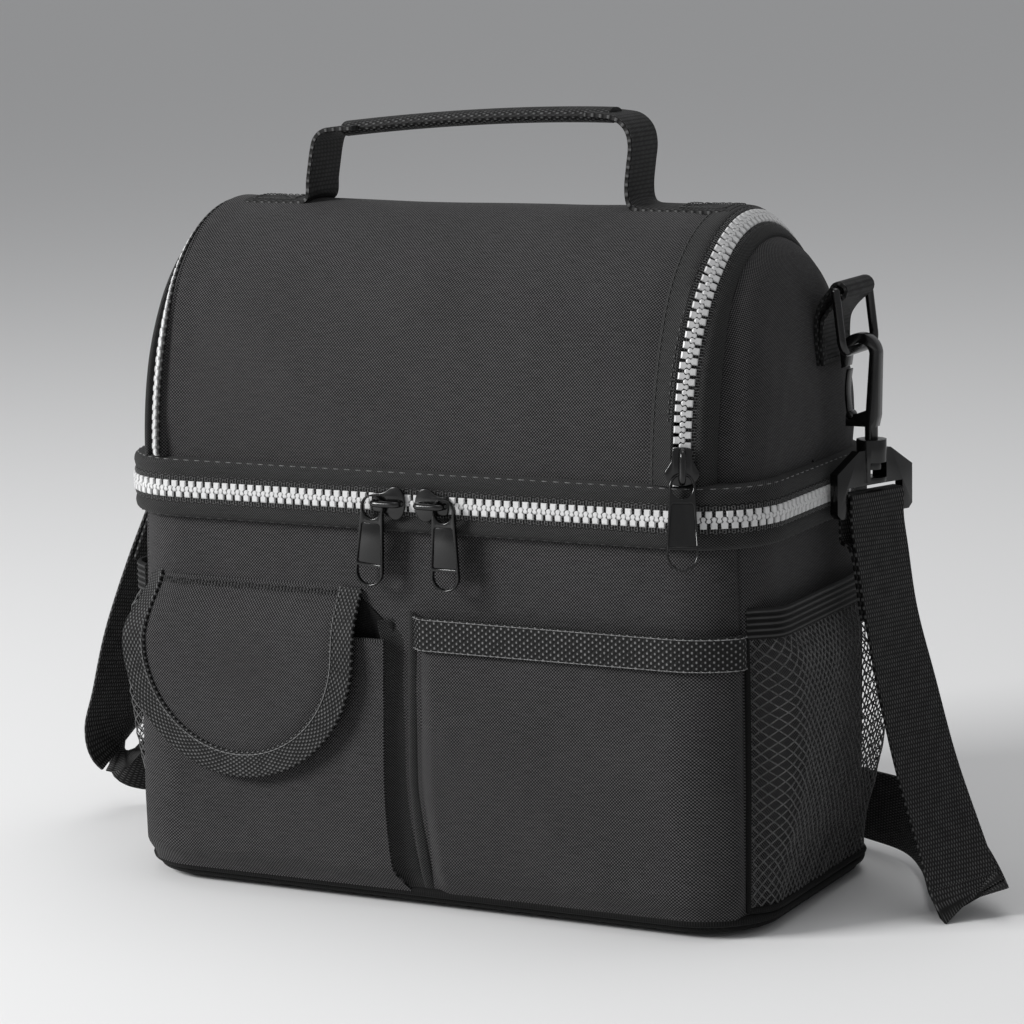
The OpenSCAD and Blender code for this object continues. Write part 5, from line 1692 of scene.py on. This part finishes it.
@dataclass
class Cover:
    """The arched cover: woven outside, foil inside, with dense facings beside the zips."""

    kit: Kit
    line: ArchLine
    full: float = 1.3
    # The cloth runs further to the left than to the right, where the facing is wide
    left_run: float = 3.4
    left_lift: float = 0.9
    facing_w: float = 11.0
    left_facing_w: float = 3.2
    facing_x: float = 115.4

    def build(self) -> None:
        """Makes the cover's pieces."""
        self.shell()
        self.lining()
        for side in Side:
            self.facing(side)

    def grid(self, x: np.ndarray, out: np.ndarray) -> np.ndarray:
        """Points over the arch for columns x and a table of standing-out."""
        a = self.kit.shape.lean(np.linspace(0, self.kit.shape.arch_len, out.shape[1]))
        rows = []
        for i, place in enumerate(x):
            p = self.kit.shape.arch(a, out[i])
            rows.append(np.column_stack([np.full(len(a), place), p[:, :2]]))
        return np.stack(rows)

    def shell(self) -> None:
        """The woven shell, a little full between its seams."""
        half = self.kit.shape.cover_half - 0.4
        left = -half - self.left_run
        x = np.linspace(left, half, 110)
        flat = self.grid(x + self.line.skew, np.zeros((110, 130)))
        t = np.linspace(0, 1, 130)
        ends = smooth(np.minimum(t, 1 - t) * 14)
        out = self.full + 0.9 * ripple(flat, 70, 8.4) + 0.3 * ripple(flat, 24, 1.1)
        out += self.left_lift * (1 - smooth((x - left) / 12))[:, None]
        out *= np.outer(smooth((half - x) / 14), ends)
        obj = sheet("cover_cloth", self.grid(x + self.line.skew, out), faces_to=(0, 0, 180))
        obj = dress(thicken(obj, 5.4), self.kit.finish.cloth, "cover", ["cover_shell", "cover_foam"])

    def lining(self) -> None:
        """The foil inside the cover."""
        half = self.kit.shape.cover_half - 0.6
        x = np.linspace(-half, half, 60) + self.line.skew
        flat = self.grid(x, np.full((60, 80), -5.8))
        obj = sheet("cover_lining_foil", self.grid(x, -5.7 + 0.25 * ripple(flat, 20, 3.3)), faces_to=(0, 0, 180))
        dress(thicken(obj, 0.6), self.kit.finish.foil, "cover", ["cover_liner"])

    def facing(self, side: Side) -> None:
        """The strip folded over the cover's edge: dense and with a stitched inner side on the right, plain cloth on the
        left.
        """
        kit, shape = self.kit, self.kit.shape
        edge = self.facing_x
        wide = self.facing_w if side is Side.RIGHT else self.left_facing_w
        fold = [(edge - wide, 0.4), (edge - wide + 0.8, 1.5), (edge - 0.36 * wide, 2.2), (edge - 0.8, 2.4)]
        back = edge - min(4.6, wide - 0.2)
        fold += [(edge, 1.9), (edge - 0.4, 0.6), (back + 1.1, -5.8), (back + 0.2, -6.2), (back, 0.2)]
        section = np.array(fold)
        s = np.linspace(0.5, shape.arch_len - 0.5, 130)
        a = shape.lean(s)
        flare = 1.7 * (1 - self.line.ease(s)) * (side is Side.RIGHT)
        lifts = smooth((section[:, 0] - edge + 6) / 5) * (section[:, 1] > 0)
        skew = self.line.skew
        rows = [np.column_stack([np.full(len(a), x * side.value + skew), shape.arch(a, o + flare * k)[:, :2]]) for (x, o), k in zip(section, lifts)]
        uv = np.stack([np.broadcast_to(np.cumsum(np.hypot(*np.diff(section, axis=0, prepend=section[:1]).T))[None, :], (len(s), len(section))), np.broadcast_to(s[:, None], (len(s), len(section)))], 2)
        grid = np.stack(rows, 1)
        obj = sheet(f"cover_facing_{side.label}", grid, wrap_v=True, uv=np.concatenate([uv, uv[:, :1] + (20, 0)], 1))
        mend(obj, fill=True)
        if side is Side.LEFT:
            dress(obj, kit.finish.cloth, "cover")
            return
        dress(obj, kit.finish.facing, "cover")
        row = np.column_stack([np.full(len(a), (edge - wide + 1.6) * side.value + skew), shape.arch(a, 1.75)[:, :2]])
        out = np.column_stack([np.zeros(len(a)), shape.arch(a)[:, 2:]])
        kit.stitches(f"cover_facing_stitches_{side.label}", row, out, "cover")


@dataclass
class CarryHandle:
    """The carrying handle: webbing sewn along the ridge, two standing legs and a folded grip."""

    kit: Kit
    width: float = 25.0
    half: float = 71.0
    off: float = 5.0
    grip_half: float = 61.0
    root_z: float = 288.0
    left_drop: float = 6.5
    thick: float = 2.0

    def leg_x(self, side: Side) -> float:
        """Distance of a leg from the cover's middle."""
        return self.half - side.value * self.off

    def build(self) -> None:
        """Makes the webbing at both ends and the grip."""
        for side in Side:
            self.leg(side)
        self.grip()

    def leg(self, side: Side) -> None:
        """One end: along the ridge, up in an S and into the grip, lower at the left."""
        kit, shape = self.kit, self.kit.shape
        ridge, leg = shape.ridge_z + 1.6, self.leg_x(side)
        root, bow = (0.0, 1.8) if side is Side.RIGHT else (3.2, 1.0)
        foot = leg + root
        route = [(110.2, ridge), (100, ridge), (foot + 12, ridge), (foot + 3.8, ridge + 0.6), (foot + 0.6, ridge + 3.0)]
        route += [(foot, 285), (leg + (root + bow) / 2, 293), (leg + bow, 301), (leg + bow - 1.6, 307.4)]
        route += [(leg - 4.5, 311.6), (leg - 11, 312.8), (leg - 18, 313.2)]
        drop = self.left_drop if side is Side.LEFT else 0.0
        path = spline([(x * side.value, 0, z - drop * max(0.0, (z - self.root_z) / 25)) for x, z in route], 1.2)
        across = np.tile((0, float(-side.value), 0), (len(path), 1))
        obj = sweep(f"handle_webbing_{side.label}", path, across, strap_section(self.width, self.thick))
        arch_drop = shape.crown_r - np.sqrt(shape.crown_r**2 - np.clip([v.co.y / MM for v in obj.data.vertices], -30, 30) ** 2)
        low = np.array([smooth(np.array((284 - v.co.z / MM) / 6)) for v in obj.data.vertices])
        for v, fall in zip(obj.data.vertices, arch_drop * low):
            v.co.z -= fall * MM
        first = side is Side.LEFT
        paint(obj, kit.finish.webbing, ["handle_anchor", "handle_webbing"] if first else [])
        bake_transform(obj)
        self.anchor_stitches(side)

    def anchor_stitches(self, side: Side) -> None:
        """The box of stitches that holds the webbing to the ridge."""
        kit, shape = self.kit, self.kit.shape
        box = [(88, -9.5), (107, -9.5), (107, 9.5), (88, 9.5), (88, -9.5), (107, 9.5)]
        rows = spline([(x, y, 0) for x, y in box[:1]] + [(x, y, 0) for x, y in box[1:]], 400)
        dense = np.vstack([np.linspace(rows[i], rows[i + 1], 12)[:-1] for i in range(len(rows) - 1)] + [rows[-1:]])
        y = dense[:, 1]
        z = shape.ridge_z + 2.85 - (shape.crown_r - np.sqrt(shape.crown_r**2 - y**2))
        path = np.column_stack([dense[:, 0] * side.value, y, z])
        out = np.column_stack([np.zeros(len(y)), y / shape.crown_r, np.ones(len(y))])
        kit.stitches(f"handle_stitches_{side.label}", path, out, "cover", pitch=2.9)

    def grip(self) -> None:
        """The grip: webbing folded in half round a cord, with its slit below and a slight bow."""
        t = np.linspace(-1, 1, 80)
        sag = self.left_drop * ((1 - t) / 2) ** 1.6
        path = np.column_stack([t * self.grip_half - self.off, np.zeros(80), 312.4 + 0.8 * (1 - t**2) - sag])
        angle = np.linspace(-80, 260, 22)
        outer = [(7.0 * math.cos(math.radians(q)), 3.2 * math.sin(math.radians(q))) for q in angle]
        inner = [(x * 0.72, z * 0.5) for x, z in outer[::-1]]
        section = np.array(outer + inner)
        obj = sweep("handle_grip_webbing", path, np.tile((0, 1.0, 0), (80, 1)), section)
        dress(obj, self.kit.finish.webbing, "handle", ["handle_grip"])


# Shoulder strap and its fittings

StrapRow = tuple[float, float, float, float, float, float]


@dataclass(frozen=True)
class HangingEnd:
    """One end of the strap: its sewn loop round the yoke's bar and its fall to the floor."""

    side: Side
    bar: tuple[float, float, float]
    turn: float
    tail: tuple[tuple[float, float, float], ...]
    fall: tuple[StrapRow, ...]
    land_z: float
    swivel_x: float = 5.0
    yoke_foot: float = -66.0
    loop: tuple[Flat, ...] = ((-3, -9), (-3, 7.6), (-2.7, 8.75), (-2, 9.05), (2, 9.05), (2.7, 8.75), (3, 7.6), (3, -2))

    @property
    def width_way(self) -> tuple[float, float, float]:
        """Direction of the strap's width at the yoke."""
        return (math.cos(math.radians(self.turn)), math.sin(math.radians(self.turn)), 0.0)

    @property
    def foot(self) -> np.ndarray:
        """The middle of the yoke's lower edge."""
        return np.array(self.bar) + (self.side.value * self.swivel_x, 0, self.yoke_foot)

    def rows(self) -> tuple[np.ndarray, int]:
        """The whole route with the width's direction, and the index of the row after the loop."""
        way = np.array(self.width_way)
        out = self.side.value * np.array((way[1], -way[0], 0.0))
        sign = np.array((self.side.value, 1, 1))
        tail = [np.concatenate([np.array(q) * sign, way]) for q in self.tail[:2]]
        loop = [np.concatenate([self.foot + out * o + (0, 0, z), way]) for o, z in self.loop]
        sewn = [np.concatenate([np.array(q) * sign, way]) for q in self.tail[2:]]
        fall = [np.concatenate([np.array(q[:3]) * sign, q[3:]]) for q in self.fall]
        start = len(spline(tail + loop, 1.6))
        return spline(tail + loop + sewn + fall, 1.6), start


RIGHT_END = HangingEnd(
    Side.RIGHT,
    (151.925, 19, 220.179),
    68.0,
    ((164.6, 15.4, 114), (160, 17, 140), (162, 16.5, 140), (166.6, 14.8, 115)),
    (
        (174, 12, 88, 0.46, 0.88, 0.05),
        (184, 8, 56, 0.5, 0.86, 0.14),
        (196, 3, 27, 0.53, 0.81, 0.24),
        (203, -1, 12, 0.56, 0.76, 0.3),
        (206, -2, 7, 0.56, 0.76, 0.3),
        (205.5, 1, 6.2, 0.56, 0.76, 0.3),
        (199, 11, 9, 0.52, 0.72, 0.46),
        (188, 27, 13, 0.42, 0.52, 0.74),
        (172, 50, 16, 0.25, 0.3, 0.92),
        (152, 72, 17, 0.1, 0.12, 0.99),
        (124, 88, 17, 0, 0, 1),
    ),
    13.0,
)
LEFT_END = HangingEnd(
    Side.LEFT,
    (-156.017, 19, 221.049),
    66.0,
    ((177.4, 18.4, 114), (166.4, 19, 140), (168.6, 19, 140), (179.6, 18, 115)),
    (
        (191.5, 16, 82, 0.4, 0.9, -0.1),
        (199, 15, 54, 0.36, 0.9, -0.2),
        (204, 16, 38, 0.3, 0.87, -0.38),
        (204, 20, 27, 0.24, 0.8, -0.55),
        (199, 27, 21, 0.2, 0.6, -0.77),
        (188, 41, 18, 0.15, 0.35, -0.92),
        (172, 60, 17, 0.05, 0.1, -0.99),
        (150, 78, 17, 0, 0, -1),
        (124, 88, 17, 0, 0, -1),
    ),
    28.0,
)


@dataclass
class ShoulderStrap:
    """The webbing shoulder strap, looped through both yokes and lying behind the bag."""

    kit: Kit
    width: float = 30.0
    thick: float = 1.6
    cuts: tuple[float, ...] = (112.0, 99.0, 86.0, 70.0)
    rear_z: float = 17.0
    rear: tuple[Flat, ...] = (
        (124, 88), (95, 94), (60, 97), (22, 98.8), (12.2, 98.8), (2.5, 103.6),
        (-2.5, 103.6), (-12.2, 98.8), (-22, 98.8), (-60, 97), (-95, 94), (-124, 88),
    )

    def build(self) -> None:
        """Makes both hanging ends and the run behind the bag."""
        self.hang(RIGHT_END)
        self.hang(LEFT_END)
        path = spline([(x, y, self.rear_z) for x, y in self.rear], 2.0)
        obj = self.piece("strap_rear_webbing", path, np.tile((0, 0, 1.0), (len(path), 1)))
        dress(obj, self.kit.finish.webbing, "lower", ["strap_rear"])

    def piece(self, name: str, path: np.ndarray, across: np.ndarray) -> bpy.types.Object:
        """A length of the webbing."""
        return sweep(name, path, across, strap_section(self.width, self.thick))

    def hang(self, end: HangingEnd) -> None:
        """One hanging end, cut where it passes from one moving fitting to the next."""
        word = end.side.label
        rows, start = end.rows()
        marks = [0]
        for z in self.cuts + (end.land_z,):
            marks.append(start + int(np.argmax(rows[start:, 2] < z)))
        bodies = [f"yoke_{word}", f"hook_{word}", f"ring_{word}", "upper", "lower"]
        node = [f"strap_{word}"]
        for k, (a, b) in enumerate(zip(marks, marks[1:] + [len(rows) - 1])):
            part = rows[a : b + 1]
            obj = self.piece(f"strap_{word}_{k}", part[:, :3], part[:, 3:])
            paint(obj, self.kit.finish.webbing, node)
            node = []
            if k == 0 or k == len(marks) - 1:
                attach(obj, bodies[0] if k == 0 else bodies[-1])
            else:
                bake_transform(obj)
            LOG.info("%s made", obj.name)


@dataclass
class RingTab:
    """The webbing tab on a padded end, folded round the ring's upper bar and sewn to itself."""

    kit: Kit
    side: Side
    width: float = 29.6
    thick: float = 1.6
    y: float = 19.0
    eye: tuple[float, float] = (149.0, 244.0)
    eye_r: float = 3.1

    def build(self) -> None:
        """Makes the tab and its stitches."""
        fold = [(140.4, 214.4), (139.6, 226), (139.8, 234), (142.0, 239.6)]
        fold += arc(self.eye, self.eye_r, 165, -62, 12)
        fold += [(147.2, 238.6), (144.2, 235.4), (142.0, 231), (141.6, 222), (142.2, 214.4)]
        path = spline([(x * self.side.value, self.y, z) for x, z in fold], 1.2)
        across = np.tile((0, 1.0, 0), (len(path), 1))
        obj = sweep(f"ring_tab_webbing_{self.side.label}", path, across, strap_section(self.width, self.thick))
        dress(obj, self.kit.finish.webbing, "upper", [f"ring_tab_{self.side.label}"])
        half = self.width / 2 - 2.2
        box = np.array([(-half, 216.4), (half, 216.4), (half, 230), (-half, 230), (-half, 216.4)])
        dense = np.vstack([np.linspace(box[i], box[i + 1], 10)[:-1] for i in range(4)] + [box[-1:]])
        x = (142.5 + 0.06 * (222 - dense[:, 1])) * self.side.value
        row = np.column_stack([x, self.y + dense[:, 0], dense[:, 1]])
        self.kit.stitches(f"ring_tab_stitches_{self.side.label}", row, np.tile((float(self.side.value), 0, 0), (len(row), 1)), "upper")


@dataclass
class MouldedFittings:
    """The strap's plastic fittings: the CAD shapes with the rounded edges of a moulding."""

    kit: Kit
    edge_mm: float = 0.7
    crisp_deg: float = 25.0
    bodies: tuple[tuple[str, str], ...] = (
        ("d_ring", "ring"), ("snap_hook", "hook"), ("hook_gate", "gate"), ("swivel_yoke", "yoke"),
    )

    def build(self, nodes: dict) -> None:
        """Makes a rounded copy of each fitting."""
        for node, body in self.bodies:
            for side in Side:
                self.soften(nodes[f"{node}_{side.label}"], f"{node}_{side.label}", f"{body}_{side.label}")
        self.soften(nodes["strap_adjuster"], "strap_adjuster", "lower")

    def soften(self, source: bpy.types.Object, node: str, body: str) -> None:
        """Rounds a fitting's crisp edges.

        Args:
            source: the CAD node's object.
            node: the CAD node's name.
            body: the CAD body that it is on.
        """
        work = bmesh.new()
        work.from_mesh(source.data)
        work.transform(source.matrix_world)
        bmesh.ops.remove_doubles(work, verts=work.verts, dist=0.005 * MM)
        bmesh.ops.dissolve_limit(work, angle_limit=math.radians(1), verts=work.verts, edges=work.edges)
        crisp = [e for e in work.edges if e.is_manifold and e.calc_face_angle() > math.radians(self.crisp_deg)]
        bmesh.ops.bevel(work, geom=crisp, offset=self.edge_mm * MM, segments=2, profile=0.5, affect="EDGES", clamp_overlap=True)
        mesh = bpy.data.meshes.new(f"{node}_moulded")
        work.to_mesh(mesh)
        work.free()
        dress(link(f"{node}_moulded", mesh), self.kit.finish.gloss, body, [node], sharp=35)


# Studio


@dataclass
class Studio:
    """A pale floor, soft lamps and the camera."""

    azimuth: float = 27.0
    elevation: float = 9.6
    distance: float = 1.5
    target: tuple[float, float, float] = (0.006, 0.0, 0.149)
    roll: float = -1.2
    lens: float = 127.97
    floor_half: float = 14.0

    def build(self) -> None:
        """Sets the camera, the lamps, the world and the floor."""
        self.camera()
        self.lamp("key", (-1.45, -1.45, 1.15), 0.8, 56.0)
        self.lamp("fill", (1.9, -1.1, 1.0), 1.6, 0.4)
        self.lamp("top", (0.1, 0.3, 2.0), 1.4, 10.0)
        self.world()
        self.floor()

    def camera(self) -> None:
        """The camera at the photograph's viewing angle."""
        az, el, roll = (math.radians(v) for v in (self.azimuth, self.elevation, self.roll))
        back = Vector((math.sin(az) * math.cos(el), -math.cos(az) * math.cos(el), math.sin(el)))
        right = Vector((0, 0, 1)).cross(back).normalized()
        up = back.cross(right)
        x = math.cos(roll) * right + math.sin(roll) * up
        y = -math.sin(roll) * right + math.cos(roll) * up
        data = bpy.data.cameras.new("camera")
        data.lens = self.lens
        data.sensor_width = 36.0
        obj = bpy.data.objects.new("camera", data)
        turn = Matrix((x, y, back)).transposed().to_4x4()
        obj.matrix_world = Matrix.Translation(Vector(self.target) + back * self.distance) @ turn
        bpy.context.scene.collection.objects.link(obj)
        bpy.context.scene.camera = obj

    def lamp(self, name: str, place: tuple[float, float, float], size: float, power: float) -> None:
        """A square soft lamp aimed at the bag."""
        data = bpy.data.lights.new(name, "AREA")
        data.size = size
        data.energy = power
        obj = bpy.data.objects.new(name, data)
        aim = Vector(self.target) - Vector(place)
        obj.matrix_world = Matrix.Translation(place) @ aim.to_track_quat("-Z", "Y").to_matrix().to_4x4()
        bpy.context.scene.collection.objects.link(obj)

    def world(self) -> None:
        """Even pale light from all round."""
        world = bpy.data.worlds.new("studio")
        world.use_nodes = True
        tree = world.node_tree
        tree.nodes.clear()
        soft = add_node(tree, "ShaderNodeBackground", {"Color": linear("#f4f5f7"), "Strength": 0.4})
        add_node(tree, "ShaderNodeOutputWorld", {"Surface": soft.outputs[0]})
        bpy.context.scene.world = world

    def floor(self) -> None:
        """The pale floor, which takes the bag's shadow."""
        h = self.floor_half
        mesh = bpy.data.meshes.new("floor")
        mesh.from_pydata([(-h, -h, -0.002), (h, -h, -0.002), (h, h, -0.002), (-h, h, -0.002)], [], [(0, 1, 2, 3)])
        obj = link("floor", mesh)
        material, _, shader = start_material("matt_paper_sweep")
        shader.inputs["Base Color"].default_value = linear("#e2e2e2")
        shader.inputs["Roughness"].default_value = 0.95
        shader.inputs["Specular IOR Level"].default_value = 0.1
        mesh.materials.append(material)


def main() -> None:
    """Builds the bag round its frame."""
    logging.basicConfig(level=logging.INFO, format="%(message)s")
    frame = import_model()
    bpy.context.scene.view_settings.view_transform = "Standard"
    Studio().build()
    kit = Kit(BagShape(), Finishes(), Stamper(), stitch_template())
    zips = ZipKit(kit, tooth_template(), tick_template())
    cords = net_tree()
    ShoulderStrap(kit).build()
    LowerBox(kit).build()
    FrontPouch(kit).build()
    PouchFlap(kit).build()
    SlipPocket(kit).build()
    for side in Side:
        NetPocket(kit, side, cords).build()
    line = ArchLine(kit.shape)
    FrontZip(kit, zips).build()
    UpperBox(kit, line).build()
    ArchZip(kit, zips, line).build()
    ZipFittings(kit, line).build()
    Cover(kit, line).build()
    CarryHandle(kit).build()
    for side in Side:
        RingTab(kit, side).build()
    MouldedFittings(kit).build(frame["nodes"])
    for template in (kit.stitch, zips.tooth, zips.tick):
        hide(template)


if __name__ == "__main__":
    main()
